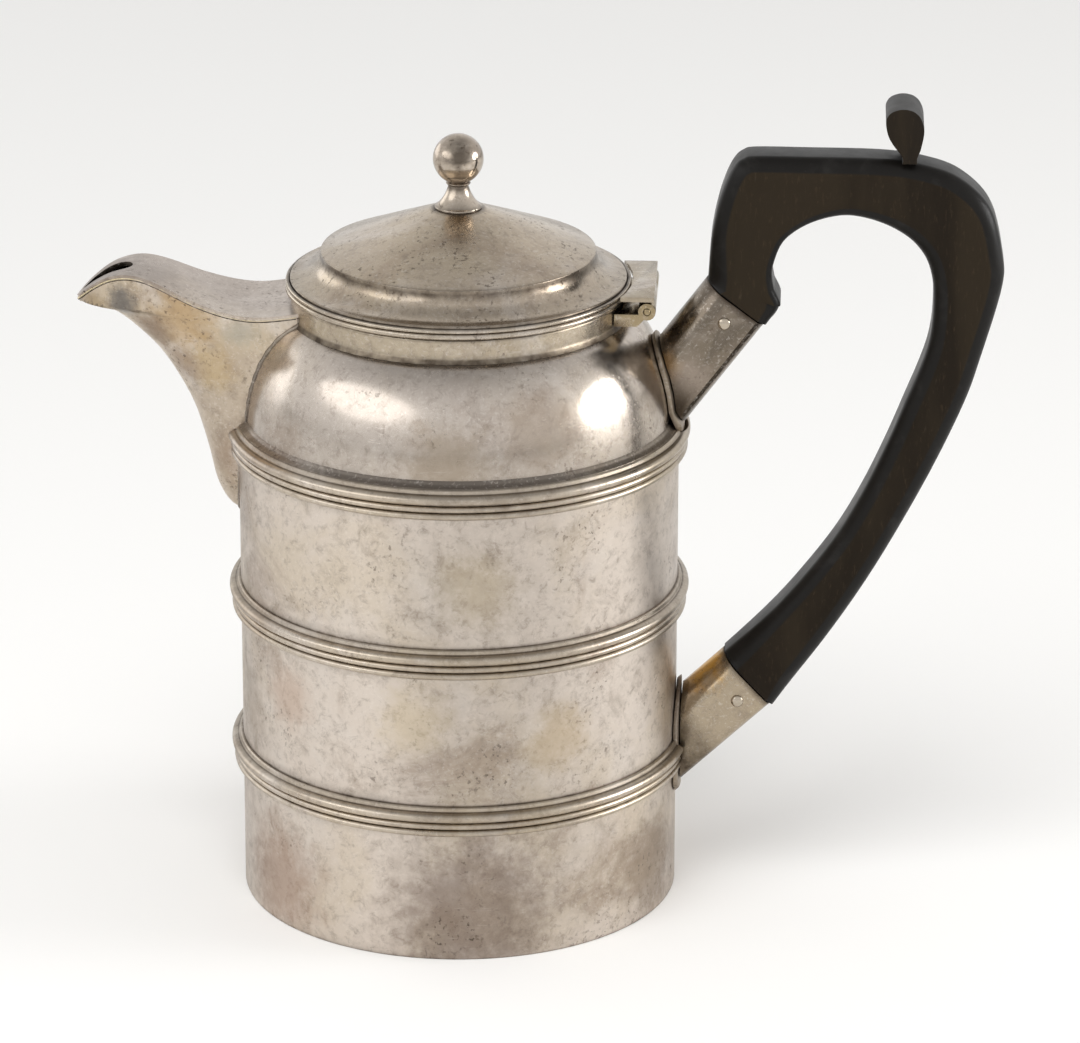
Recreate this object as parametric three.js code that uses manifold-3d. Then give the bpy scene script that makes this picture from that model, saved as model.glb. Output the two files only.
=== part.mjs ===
// Silver hot water jug with a hinged lid, a short covered spout and an ebony handle.
// Millimetres, Z up. The drum stands on Z = 0 round the Z axis, the spout points to -X and the
// handle to +X. The lid turns about the hinge pin, which lies along Y behind the neck.
import * as THREE from 'three';
import { mergeVertices } from 'three/addons/utils/BufferGeometryUtils.js';
import Module from 'manifold-3d';

const wasm = await Module();
wasm.setup();

// Joints and running gaps
const seam = 0.25;
const runningGap = 0.3;
const pinGap = 0.06;

// Sheet silver
const drumSheet = 0.9;
const shoulderSheet = 0.9;
const collarSheet = 0.9;
const lidSheet = 0.8;
const spoutSheet = 0.9;
const socketSheet = 0.8;

// Drum and base
const drumRadius = 40.5;
const drumHeight = 91.15;
const baseThickness = 1.0;

// Reeded bands round the drum, the highest one level with the top of the drum
const bandSpacing = 30.55;
const bandRoot = 0.9;
const reedHeight = 1.35;
const reedProud = 0.75;
const beadHeight = 2.0;
const beadProud = 1.2;
const bandLedge = 0.8;

// Shoulder, an elliptical curve from the drum up to the neck collar
const shoulderRise = 21.06;
const shoulderLap = 3.2;
const crownInset = 2.5;
const neckInset = 9.9;
const collarHeight = 3.65;

// Lid
const lidOverhang = 0.15;
const lidSkirt = 2.4;
const rimWire = 0.65;
const rimHeight = 2.0;
const coveWidth = 5.65;
const coveRise = 4.8;
const domeRise = 7.9;
const bezelDepth = 3.2;
const bezelSheet = 0.8;
const bezelGap = 0.3;

// Finial, turned in one piece with the threaded stud that holds it to the lid
const studRadius = 1.2;
const studHoleGap = 0.3;
const studTail = 0.8;
const finialFootRadius = 4.35;
const finialFootEdge = 0.3;
const finialWaistRadius = 1.87;
const finialWaistHeight = 4.2;
const finialRingRadius = 2.25;
const finialRingTop = 5.0;
const finialRingHeight = 0.6;
const ballRadius = 4.62;
const nutAcrossFlats = 5.0;
const nutThickness = 1.6;

// Hinge
const hingeWidth = 22.0;
const hingePinRadius = 0.65;
const hingePinProud = 0.2;
const knuckleRadius = 1.6;
const middleKnuckle = 7.2;
const hingeReach = 4.1;
const hingeLeaf = 0.9;
const hingeLeafLift = 1.1;
const hingeLeafOverrun = 1.3;
const bracketDepth = 2.3;
const bracketDrop = 0.5;

// Handle section, flat sides with rounded outer and inner faces
const handleWidth = 11.0;
const handleDepth = 13.3;
const outerCap = 4.1;
const innerCap = 2.1;

// Where the wood meets the sockets, as distances from the drum wall and from the shoulder foot
const upperJointOut = 10.2;
const upperJointRise = 23.7;
const upperAngle = 53.3;
const lowerJointOut = 13.3;
const lowerJointHeight = 41.5;
const lowerAngle = 43.3;
const handleReach = 48.1;
const handleRise = 27.9;
const handleLobe = 4.0;
const tenonLength = 11.0;
const tenonGap = 0.25;
const socketReach = 34.0;
const footPlate = 0.8;
const footPlateBorder = 1.2;

// Handle pins
const handlePinRadius = 0.85;
const handlePinHead = 1.15;
const handlePinHeadHeight = 0.5;
const handlePinSetback = 3.8;
const upperPinOut = 0.2;
const lowerPinOut = 1.3;

// Thumb piece
const thumbWidth = 11.0;
const thumbTenonWidth = 6.0;
const thumbTenonDepth = 3.0;
const thumbTenonThickness = 1.6;
const thumbHeight = 10.3;
const edgeRound = 2.5;

// Spout
const spoutCoverSheet = 0.8;
const spoutHalfWidth = 11.5;
const spoutReach = 29.5;
const spoutTipRise = 21.7;
const slotLength = 9.2;
const slotHalfWidth = 1.7;
const slotSetback = 1.0;
const pourHoleHalfWidth = 6.0;
const pourHoleHalfHeight = 11.0;
const pourHoleCentre = 5.0;

// Facets
const roundSides = 48;
const smallSides = 24;
const pinSides = 16;

const silver = { color: 0xb6ab9b, roughness: 0.32, metalness: 1.0 };
const brightSilver = { color: 0xc4b8a6, roughness: 0.2, metalness: 1.0 };
const ebony = { color: 0x2c2522, roughness: 0.45, metalness: 0.0 };

const jug = new THREE.Group();

function piece(name, geometry, finish) {
  const mesh = new THREE.Mesh(geometry, new THREE.MeshStandardMaterial(finish));
  mesh.name = name;
  jug.add(mesh);
}

// A closed geometry as a solid that can be cut and joined
function solid(geometry) {
  const bare = geometry.clone();
  bare.deleteAttribute('normal');
  bare.deleteAttribute('uv');
  const merged = mergeVertices(bare, 1e-4);
  return new wasm.Manifold(new wasm.Mesh({
    numProp: 3,
    vertProperties: new Float32Array(merged.attributes.position.array),
    triVerts: new Uint32Array(merged.index.array),
  }));
}

function surface(body) {
  const mesh = body.getMesh();
  const geometry = new THREE.BufferGeometry();
  geometry.setAttribute('position', new THREE.BufferAttribute(mesh.vertProperties, 3));
  geometry.setIndex(new THREE.BufferAttribute(mesh.triVerts, 1));
  geometry.computeVertexNormals();
  return geometry;
}

// A profile of [radius, height] points turned round the Z axis. A profile that leaves the axis
// out is closed on itself.
function turned(profile, sides = roundSides) {
  const points = profile.map(([radius, height]) => new THREE.Vector2(radius, height));
  if (THREE.ShapeUtils.area(points) < 0) points.reverse();
  if (points[0].x > 0 || points.at(-1).x > 0) points.push(points[0].clone());
  return new THREE.LatheGeometry(points, sides).rotateX(Math.PI / 2);
}

// A round bar along Y between two distances from the XZ plane
function crossBar(x, z, radius, from, to, sides = pinSides) {
  const bar = turned([[0, from], [radius, from], [radius, to], [0, to]], sides);
  return solid(bar.rotateX(-Math.PI / 2).translate(x, 0, z));
}

// An upright round bar on the axis of the jug
function post(radius, low, high) {
  return solid(turned([[0, low], [radius, low], [radius, high], [0, high]]));
}

// A shape drawn in X and Z, given a width in Y and centred on the XZ plane
function slab(shape, width, options = {}) {
  const geometry = new THREE.ExtrudeGeometry(shape, { depth: width, bevelEnabled: false, ...options });
  return geometry.translate(0, 0, -width / 2).rotateX(Math.PI / 2);
}

// A block between two ends in X, the same width either side of the XZ plane, and two heights
function block([x0, x1], width, [z0, z1]) {
  const geometry = new THREE.BoxGeometry(x1 - x0, width, z1 - z0);
  return geometry.translate((x0 + x1) / 2, 0, (z0 + z1) / 2);
}

// The points of an open profile moved sideways by a distance, to the left of its direction
function offsetProfile(points, distance) {
  return points.map((point, i) => {
    const before = points[Math.max(i - 1, 0)];
    const after = points[Math.min(i + 1, points.length - 1)];
    const run = new THREE.Vector2(after[0] - before[0], after[1] - before[1]).normalize();
    return [point[0] - run.y * distance, point[1] + run.x * distance];
  });
}

// The height of a profile at a radius
function heightAt(profile, radius) {
  for (let i = 1; i < profile.length; i += 1) {
    const [r0, z0] = profile[i - 1];
    const [r1, z1] = profile[i];
    if ((r0 - radius) * (r1 - radius) <= 0 && r0 !== r1) {
      return z0 + (z1 - z0) * (radius - r0) / (r1 - r0);
    }
  }
  return profile.at(-1)[1];
}

// Half an ellipse standing out from a wall, from the lower height to the upper one
function bulge(wall, proud, low, high, steps) {
  const points = [];
  for (let i = 1; i < steps; i += 1) {
    const angle = Math.PI * (i / steps - 0.5);
    points.push([wall + proud * Math.cos(angle), (low + high) / 2 + (high - low) / 2 * Math.sin(angle)]);
  }
  return points;
}

// Shoulder curve
const collarRadius = drumRadius - neckInset;
const shoulderOuter = drumRadius - drumSheet - seam;
const crownRadius = collarRadius - crownInset;
const shoulderReach = shoulderOuter - crownRadius;

function shoulderCurve(outset, endRadius, steps) {
  const reach = shoulderReach + outset;
  const end = Math.acos((endRadius - crownRadius) / reach);
  const points = [];
  for (let i = 0; i <= steps; i += 1) {
    const angle = end * i / steps;
    points.push([
      crownRadius + reach * Math.cos(angle),
      drumHeight + (shoulderRise + outset) * Math.sin(angle),
    ]);
  }
  return points;
}

const collarInner = collarRadius - collarSheet;
const shoulderTop = shoulderCurve(0, collarInner, 8).at(-1)[1];
const collarBottom = shoulderTop + seam;
const collarTop = collarBottom + collarHeight;

// Everything within the outside of the body, grown by an outset
function bodyEnvelope(outset) {
  const curve = shoulderCurve(outset, collarRadius + outset, 8);
  return solid(turned([
    [0, -baseThickness],
    [drumRadius + outset, -baseThickness],
    [drumRadius + outset, drumHeight + outset],
    ...curve.filter(([, z]) => z > drumHeight + outset + 0.5),
    [collarRadius + outset, collarTop + outset],
    [0, collarTop + outset],
  ]));
}

function bodyRadiusAt(height) {
  if (height <= drumHeight) return drumRadius;
  const share = (height - drumHeight) / shoulderRise;
  if (share >= 1) return collarRadius;
  return Math.max(crownRadius + shoulderReach * Math.sqrt(1 - share * share), collarRadius);
}

// Section of the handle and its sockets, at an inset from the outside
function sectionShape(inset) {
  const halfWidth = handleWidth / 2 - inset;
  const outerEdge = outerCap - handleDepth / 2;
  const innerEdge = handleDepth / 2 - innerCap;
  const shape = new THREE.Shape();
  shape.absellipse(outerEdge, 0, outerCap - inset, halfWidth, Math.PI / 2, Math.PI * 1.5, false, 0);
  shape.absellipse(innerEdge, 0, innerCap - inset, halfWidth, -Math.PI / 2, Math.PI / 2, false, 0);
  return shape;
}

function jointFrame(x, z, degrees) {
  const angle = THREE.MathUtils.degToRad(degrees);
  const along = new THREE.Vector3(Math.cos(angle), 0, Math.sin(angle));
  const across = new THREE.Vector3(Math.sin(angle), 0, -Math.cos(angle));
  const frame = new THREE.Matrix4().makeBasis(across, new THREE.Vector3(0, 1, 0), along);
  return frame.setPosition(x, 0, z);
}

const upperJoint = jointFrame(drumRadius + upperJointOut, drumHeight + upperJointRise, upperAngle);
const lowerJoint = jointFrame(drumRadius + lowerJointOut, lowerJointHeight, lowerAngle);

// A length of the handle section below a joint, towards the body
function sectionBar(joint, inset, length, start = 0) {
  const options = { depth: length, bevelEnabled: false, curveSegments: 7 };
  const geometry = new THREE.ExtrudeGeometry(sectionShape(inset), options);
  return solid(geometry.translate(0, 0, -length - start).applyMatrix4(joint));
}

// The bore for a handle pin
function pinHole(joint, pinOut) {
  const radius = handlePinRadius + pinGap;
  const profile = [[0, -handleWidth], [radius, -handleWidth], [radius, handleWidth], [0, handleWidth]];
  const bore = turned(profile, pinSides).rotateX(Math.PI / 2);
  return solid(bore.translate(pinOut, 0, -handlePinSetback).applyMatrix4(joint));
}

// Spout sections, from the foot up to the tip: height above the drum's top, reach beyond the
// drum wall, and half width at the body, as shares of the tip's height, reach and half width
const spoutStations = [
  [-0.852, 0.014, 0.046],
  [-0.805, 0.058, 0.176],
  [-0.713, 0.109, 0.306],
  [-0.558, 0.156, 0.444],
  [-0.274, 0.205, 0.62],
  [0.078, 0.283, 0.75],
  [0.366, 0.387, 0.843],
  [0.595, 0.505, 0.907],
  [0.774, 0.639, 0.954],
  [0.908, 0.773, 0.981],
  [0.974, 0.901, 1],
  [1, 1, 1],
  [1.456, 1, 1],
].map(([rise, reach, half]) => [rise * spoutTipRise, reach * spoutReach, half * spoutHalfWidth]);

// The spout's outline seen from above is a pointed arch
const archSide = new THREE.CubicBezierCurve(
  new THREE.Vector2(0, 0),
  new THREE.Vector2(0.03, 0.45),
  new THREE.Vector2(0.45, 0.9),
  new THREE.Vector2(1, 1),
);

// Loft of pointed arches, at an inset from the outside, closed well inside the body
function spoutLoft(inset) {
  const steps = 6;
  const inside = crownRadius * 0.8;
  const stations = spoutStations.filter(([, , half]) => half - inset > 1);
  const rings = stations.map(([rise, reach, half]) => {
    const z = drumHeight + rise;
    const width = half - inset;
    const tip = -(drumRadius + reach - inset * 1.4);
    const bodyRadius = bodyRadiusAt(z);
    const root = -Math.sqrt(bodyRadius * bodyRadius - width * width);
    const side = archSide.getPoints(steps).map((p) => [tip + (root - tip) * p.x, width * p.y]);
    const far = [...side].reverse();
    const near = side.slice(1).map(([x, y]) => [x, -y]);
    return [[-inside, width], ...far, ...near, [-inside, -width]].map(([x, y]) => [x, y, z]);
  });
  const count = rings[0].length;
  const triangles = [];
  for (let i = 1; i < rings.length; i += 1) {
    for (let j = 0; j < count; j += 1) {
      const k = (j + 1) % count;
      const [a, b, c, d] = [rings[i - 1][j], rings[i - 1][k], rings[i][k], rings[i][j]];
      triangles.push(a, b, c, a, c, d);
    }
  }
  for (let j = 1; j < count - 1; j += 1) {
    triangles.push(rings[0][0], rings[0][j + 1], rings[0][j]);
    triangles.push(rings.at(-1)[0], rings.at(-1)[j], rings.at(-1)[j + 1]);
  }
  const geometry = new THREE.BufferGeometry();
  geometry.setAttribute('position', new THREE.Float32BufferAttribute(triangles.flat(), 3));
  return solid(geometry);
}

// Top line of the spout from the tip back to the collar: reach beyond the drum wall and height
// above the drum's top, as shares of the tip's
const spoutTop = new THREE.SplineCurve([
  [1.016, 0.998],
  [0.9, 1.155],
  [0.766, 1.267],
  [0.625, 1.301],
  [0.477, 1.253],
  [0.235, 1.114],
  [0.02, 1.033],
  [-0.168, 1.012],
  [-0.431, 1.063],
].map(([reach, rise]) => new THREE.Vector2(
  -(drumRadius + reach * spoutReach),
  drumHeight + rise * spoutTipRise,
)));

// The space under the spout's top line, down to a depth
function underSpoutTop(drop, depth) {
  const line = spoutTop.getPoints(24).map((p) => new THREE.Vector2(p.x, p.y - drop));
  const outline = [
    ...line,
    ...line.map((p) => new THREE.Vector2(p.x, p.y - depth)).reverse(),
  ];
  return solid(slab(new THREE.Shape(outline), spoutHalfWidth * 3));
}

// The opening from the body into the spout, an oval bar along -X
const pourHoleShape = new THREE.Shape();
const pourHoleHeight = drumHeight + pourHoleCentre;
pourHoleShape.absellipse(0, pourHoleHeight, pourHoleHalfWidth, pourHoleHalfHeight, 0, Math.PI * 2);
const pourHole = solid(new THREE.ExtrudeGeometry(pourHoleShape, {
  depth: drumRadius,
  bevelEnabled: false,
  curveSegments: 10,
}).rotateX(Math.PI / 2).rotateZ(-Math.PI / 2).translate(-collarRadius / 2, 0, 0));

// Drum, base and shoulder
const drum = solid(turned([
  [drumRadius - drumSheet, 0],
  [drumRadius, 0],
  [drumRadius, drumHeight],
  [drumRadius - drumSheet, drumHeight],
]));
piece('body_drum', surface(drum.subtract(pourHole)), silver);

const baseRadius = drumRadius - drumSheet - seam;
piece('base_plate', turned([
  [0, 0],
  [baseRadius, 0],
  [baseRadius, baseThickness],
  [0, baseThickness],
]), silver);

const shoulderOutside = [
  [shoulderOuter, drumHeight - shoulderLap],
  ...shoulderCurve(0, collarInner, 8),
];
const shoulderInside = [
  [shoulderOuter - shoulderSheet, drumHeight - shoulderLap],
  ...shoulderCurve(-shoulderSheet, collarInner, 7),
].reverse();
const shoulder = solid(turned([...shoulderOutside, ...shoulderInside]));
piece('shoulder', surface(shoulder.subtract(pourHole)), silver);

piece('neck_collar', turned([
  [collarInner, collarBottom],
  [collarRadius, collarBottom],
  [collarRadius, collarTop],
  [collarInner, collarTop],
]), silver);

// Spout: a bent shell with a keel, and a flat cover let down on it with a pouring slot
const spoutOutside = spoutLoft(0);
const spoutShell = spoutOutside
  .intersect(underSpoutTop(spoutCoverSheet + seam, drumHeight))
  .subtract(spoutLoft(spoutSheet))
  .subtract(bodyEnvelope(seam));
piece('spout_shell', surface(spoutShell), silver);

const slotPoint = -(drumRadius + spoutReach - slotSetback);
const slotRound = slotPoint + slotLength - slotHalfWidth;
const slotShape = new THREE.Shape();
slotShape.moveTo(slotPoint, 0);
slotShape.quadraticCurveTo(slotPoint + slotLength * 0.4, -slotHalfWidth, slotRound, -slotHalfWidth);
slotShape.absarc(slotRound, 0, slotHalfWidth, -Math.PI / 2, Math.PI / 2, false);
slotShape.quadraticCurveTo(slotPoint + slotLength * 0.4, slotHalfWidth, slotPoint, 0);
const slot = new THREE.ExtrudeGeometry(slotShape, {
  depth: drumHeight * 2,
  bevelEnabled: false,
  curveSegments: 6,
});
const spoutCover = spoutOutside
  .intersect(underSpoutTop(0, spoutCoverSheet))
  .subtract(solid(slot))
  .subtract(bodyEnvelope(seam));
piece('spout_cover', surface(spoutCover), silver);

// Sockets, each a hollow bar that stands on a curved foot plate and ends at the wood, with a
// pin that has a domed head at both ends
const footOutset = seam + footPlate;
const pinSeat = handleWidth / 2 + pinGap;
const pinHead = bulge(0, handlePinHead, pinSeat - handlePinHeadHeight, pinSeat + handlePinHeadHeight, 6)
  .filter(([, z]) => z > pinSeat);
const pinProfile = [
  [0, -pinSeat - handlePinHeadHeight],
  ...pinHead.map(([r, z]) => [r, -z]).reverse(),
  [handlePinHead, -pinSeat],
  [handlePinRadius, -pinSeat],
  [handlePinRadius, pinSeat],
  [handlePinHead, pinSeat],
  ...pinHead,
  [0, pinSeat + handlePinHeadHeight],
];
const sockets = [
  { place: 'upper', joint: upperJoint, pinOut: upperPinOut },
  { place: 'lower', joint: lowerJoint, pinOut: lowerPinOut },
];
for (const { place, joint, pinOut } of sockets) {
  const foot = sectionBar(joint, -footPlateBorder, socketReach)
    .intersect(bodyEnvelope(footOutset))
    .subtract(bodyEnvelope(seam));
  piece(`socket_plate_${place}`, surface(foot), silver);

  const socket = sectionBar(joint, 0, socketReach)
    .subtract(sectionBar(joint, socketSheet, socketReach * 2, -socketReach / 2))
    .subtract(bodyEnvelope(footOutset + seam))
    .subtract(pinHole(joint, pinOut));
  piece(`socket_${place}`, surface(socket), silver);

  const pin = turned(pinProfile, pinSides).rotateX(Math.PI / 2);
  piece(`handle_pin_${place}`, pin.translate(pinOut, 0, -handlePinSetback).applyMatrix4(joint), brightSilver);
}

// Reeded bands, cut where the spout and the sockets stand on the drum
function bandProfile(low) {
  const inner = drumRadius + seam;
  const root = drumRadius + bandRoot;
  const middle = low + reedHeight;
  const bead = middle + reedHeight;
  const ledge = bead + beadHeight;
  return [
    [inner, low],
    [root, low],
    ...bulge(root, reedProud, low, middle, 3),
    [root, middle],
    ...bulge(root, reedProud, middle, bead, 3),
    [root, bead],
    ...bulge(root, beadProud, bead, ledge, 4),
    [root, ledge],
    [inner + 0.3, ledge + bandLedge],
    [inner, ledge + bandLedge],
  ];
}
const bandHeight = reedHeight * 2 + beadHeight + bandLedge;
const spoutRoom = spoutLoft(-seam);
const socketRoom = sockets.map(({ joint }) => sectionBar(joint, -footPlateBorder - seam, socketReach));
['band_upper', 'band_middle', 'band_lower'].forEach((name, i) => {
  const low = drumHeight + seam - bandHeight - bandSpacing * i;
  const band = solid(turned(bandProfile(low)))
    .subtract(spoutRoom)
    .subtract(socketRoom[0])
    .subtract(socketRoom[1]);
  piece(name, surface(band), silver);
});

// Handle outline. Points of the head are measured from the upper joint, as shares of the
// handle's reach and rise. Points of the grip are a share of the drop between the joints, and a
// share of the reach out from the line that joins them.
const upperPoint = new THREE.Vector2(drumRadius + upperJointOut, drumHeight + upperJointRise);
const lowerPoint = new THREE.Vector2(drumRadius + lowerJointOut, lowerJointHeight);
const head = ([out, rise]) => new THREE.Vector2(
  upperPoint.x + out * handleReach,
  upperPoint.y + rise * handleRise,
);
const grip = ([drop, out]) => {
  const point = upperPoint.clone().lerp(lowerPoint, drop);
  return new THREE.Vector2(point.x + out * handleReach, point.y);
};
const jointPoint = (joint, across, along) => {
  const point = new THREE.Vector3(across, 0, along).applyMatrix4(joint);
  return new THREE.Vector2(point.x, point.z);
};
const halfDepth = handleDepth / 2;
const trim = tenonLength * 0.55;

const outerHead = [
  [-0.096, 0.451], [-0.073, 0.669], [-0.043, 0.835], [-0.014, 0.933], [0.017, 0.981], [0.066, 1.002],
].map(head);
const outerTop = [[0.256, 1.002], [0.529, 0.997]].map(head);
const outerBack = [
  [0.691, 0.962], [0.831, 0.875], [0.946, 0.679], [0.997, 0.371], [1, 0.137],
].map(head);
const outerGrip = [
  [0.136, 0.916], [0.246, 0.856], [0.405, 0.742], [0.564, 0.612], [0.723, 0.469], [0.882, 0.305],
].map(grip);
const innerGrip = [
  [0.82, 0.093], [0.711, 0.237], [0.602, 0.361], [0.492, 0.459], [0.383, 0.541], [0.274, 0.614],
  [0.105, 0.718],
].map(grip);
const innerBack = [
  [0.743, 0.057], [0.724, 0.277], [0.672, 0.423], [0.6, 0.519], [0.52, 0.581], [0.437, 0.615],
  [0.369, 0.612],
].map(head);
const innerFront = [
  [0.288, 0.574], [0.218, 0.509], [0.169, 0.425], [0.14, 0.295], [0.134, 0.203], [0.143, 0.11],
].map(head);

const handleOutline = new THREE.Shape();
handleOutline.moveTo(...jointPoint(upperJoint, -halfDepth, -trim));
handleOutline.lineTo(...jointPoint(upperJoint, -halfDepth, 0));
handleOutline.splineThru(outerHead);
handleOutline.lineTo(...outerTop[0]);
handleOutline.lineTo(...outerTop[1]);
handleOutline.splineThru([...outerBack, ...outerGrip, jointPoint(lowerJoint, halfDepth, 0)]);
handleOutline.lineTo(...jointPoint(lowerJoint, halfDepth, -trim));
handleOutline.lineTo(...jointPoint(lowerJoint, -halfDepth, -trim));
handleOutline.lineTo(...jointPoint(lowerJoint, -halfDepth, 0));
handleOutline.splineThru([...innerGrip, ...innerBack, ...innerFront]);
handleOutline.lineTo(...jointPoint(upperJoint, halfDepth, handleLobe));
handleOutline.lineTo(...jointPoint(upperJoint, halfDepth, -trim));

// The handle before it is cut to the sockets, grown by an outset
function handleBlank(outset) {
  return solid(slab(handleOutline, handleWidth - edgeRound * 2, {
    bevelEnabled: true,
    bevelThickness: edgeRound + outset,
    bevelSize: edgeRound + outset,
    bevelOffset: -edgeRound,
    bevelSegments: 2,
    curveSegments: 2,
  }));
}

// The wood past each joint is cut away, and a tenon that fits the socket is left
function pastJoint(joint) {
  const room = handleDepth * 2;
  return solid(block([-room, room], room, [-room, seam]).applyMatrix4(joint));
}

// The thumb piece stands on the top of the handle, on a tenon let into it
const thumbFoot = head([0.645, 0.981]);
const thumbHalf = thumbTenonThickness / 2;
const thumbAt = (out, rise) => new THREE.Vector2(thumbFoot.x + out, thumbFoot.y + rise);
const thumbPoint = ([out, rise]) => thumbAt(out * thumbHeight, rise * thumbHeight);
const thumbFront = [
  [-0.051, 0.2], [-0.246, 0.381], [-0.347, 0.533], [-0.407, 0.752],
  [-0.39, 0.867], [-0.33, 0.933], [-0.229, 0.99], [-0.135, 1],
].map(thumbPoint);
const thumbBack = [
  [-0.051, 0.99], [0.051, 0.952], [0.161, 0.838], [0.221, 0.61], [0.169, 0.286], [0.077, 0.095],
].map(thumbPoint);
const thumbShape = new THREE.Shape();
thumbShape.moveTo(...thumbAt(-thumbHalf, -thumbTenonDepth / 2));
thumbShape.lineTo(...thumbAt(-thumbHalf, thumbTenonDepth / 5));
thumbShape.splineThru([...thumbFront, ...thumbBack]);
thumbShape.lineTo(...thumbAt(thumbHalf, -thumbTenonDepth / 2));

const tenonSpan = (grow) => [thumbFoot.x - thumbHalf - grow, thumbFoot.x + thumbHalf + grow];
const tenonDepth = thumbFoot.y - thumbTenonDepth;
const thumbTenon = block(tenonSpan(0), thumbTenonWidth, [tenonDepth, thumbFoot.y + 1]);
const mortise = block(tenonSpan(seam), thumbTenonWidth + seam * 2, [tenonDepth - seam, thumbFoot.y + 2]);
const thumbPiece = solid(slab(thumbShape, thumbWidth, { curveSegments: 1 }))
  .subtract(handleBlank(seam))
  .add(solid(thumbTenon));
piece('thumb_piece', surface(thumbPiece), ebony);

const tenonInset = socketSheet + tenonGap;
let handle = handleBlank(0).subtract(solid(mortise));
for (const { joint, pinOut } of sockets) {
  handle = handle
    .subtract(pastJoint(joint))
    .add(sectionBar(joint, tenonInset, tenonLength + 1, -1))
    .subtract(pinHole(joint, pinOut));
}
piece('handle', surface(handle), ebony);

// Lid: a raised cover with a cove and a low dome, a wire round its edge, and a ring below that
// sits inside the neck
const lidRadius = collarRadius + lidOverhang;
const lidBase = collarTop + runningGap;
const domeRadius = lidRadius - coveWidth;
const domeBase = lidBase + lidSkirt + coveRise;
const domeTop = domeBase + domeRise;
const seatRadius = finialFootRadius + seam;
const studHole = studRadius + studHoleGap;

const coverOutside = [[lidRadius, lidBase]];
for (let i = 0; i <= 5; i += 1) {
  const angle = Math.PI / 2 * i / 5;
  coverOutside.push([
    lidRadius - coveWidth * Math.sin(angle),
    lidBase + lidSkirt + coveRise * (1 - Math.cos(angle)),
  ]);
}
const domeSpan = domeRadius - seatRadius;
const dome = new THREE.CubicBezierCurve(
  new THREE.Vector2(domeRadius, domeBase),
  new THREE.Vector2(domeRadius - domeSpan * 0.3, domeBase + domeRise * 0.3),
  new THREE.Vector2(domeRadius - domeSpan * 0.7, domeBase + domeRise * 0.72),
  new THREE.Vector2(seatRadius, domeTop),
);
coverOutside.push(...dome.getPoints(5).slice(1).map((p) => [p.x, p.y]), [studHole, domeTop]);
const coverInside = offsetProfile(coverOutside, lidSheet);
piece('lid_cover', turned([...coverOutside, ...coverInside.reverse()]), silver);

const rimInner = lidRadius + seam;
const rimOuter = rimInner + rimWire;
const rimFlat = rimInner + rimWire * 0.3;
piece('lid_rim', turned([
  [rimInner, lidBase],
  [rimFlat, lidBase],
  ...bulge(rimFlat, rimOuter - rimFlat, lidBase, lidBase + rimHeight, 5),
  [rimFlat, lidBase + rimHeight],
  [rimInner, lidBase + rimHeight],
]), silver);

const bezelRadius = collarInner - bezelGap;
const bezelTop = heightAt(coverInside, bezelRadius) - seam;
piece('lid_bezel', turned([
  [bezelRadius - bezelSheet, lidBase - bezelDepth],
  [bezelRadius, lidBase - bezelDepth],
  [bezelRadius, bezelTop],
  [bezelRadius - bezelSheet, bezelTop],
]), silver);

// Finial and the nut that holds it from inside the lid
const nutTop = domeTop - lidSheet - seam;
const footTop = domeTop + seam + finialFootEdge;
const ringTop = domeTop + finialRingTop;
const ringBottom = ringTop - finialRingHeight;
const footCurve = new THREE.QuadraticBezierCurve(
  new THREE.Vector2(finialFootRadius, footTop),
  new THREE.Vector2(finialWaistRadius * 1.35, footTop + finialWaistHeight * 0.3),
  new THREE.Vector2(finialWaistRadius, domeTop + finialWaistHeight),
);
const ballStart = Math.acos(finialWaistRadius / ballRadius);
const ballCentre = ringTop + ballRadius * Math.sin(ballStart);
const ball = [];
for (let i = 0; i < 10; i += 1) {
  const angle = (Math.PI / 2 + ballStart) * i / 10 - ballStart;
  ball.push([ballRadius * Math.cos(angle), ballCentre + ballRadius * Math.sin(angle)]);
}
piece('finial', turned([
  [0, nutTop - nutThickness - studTail],
  [studRadius, nutTop - nutThickness - studTail],
  [studRadius, domeTop + seam],
  [finialFootRadius, domeTop + seam],
  ...footCurve.getPoints(4).map((p) => [p.x, p.y]),
  [finialWaistRadius, ringBottom],
  [finialRingRadius, ringBottom + finialRingHeight * 0.3],
  [finialRingRadius, ringBottom + finialRingHeight * 0.7],
  ...ball,
  [0, ballCentre + ballRadius],
], smallSides), brightSilver);

const nutShape = new THREE.Shape();
const nutCorner = nutAcrossFlats / 2 / Math.cos(Math.PI / 6);
for (let i = 0; i < 6; i += 1) {
  nutShape.lineTo(nutCorner * Math.cos(Math.PI / 3 * i), nutCorner * Math.sin(Math.PI / 3 * i));
}
nutShape.curves.shift();
nutShape.holes.push(new THREE.Path().absarc(0, 0, studRadius + seam / 2, 0, Math.PI * 2));
const nut = new THREE.ExtrudeGeometry(nutShape, { depth: nutThickness, bevelEnabled: false });
piece('finial_nut', nut.translate(0, 0, nutTop - nutThickness), silver);

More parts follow.
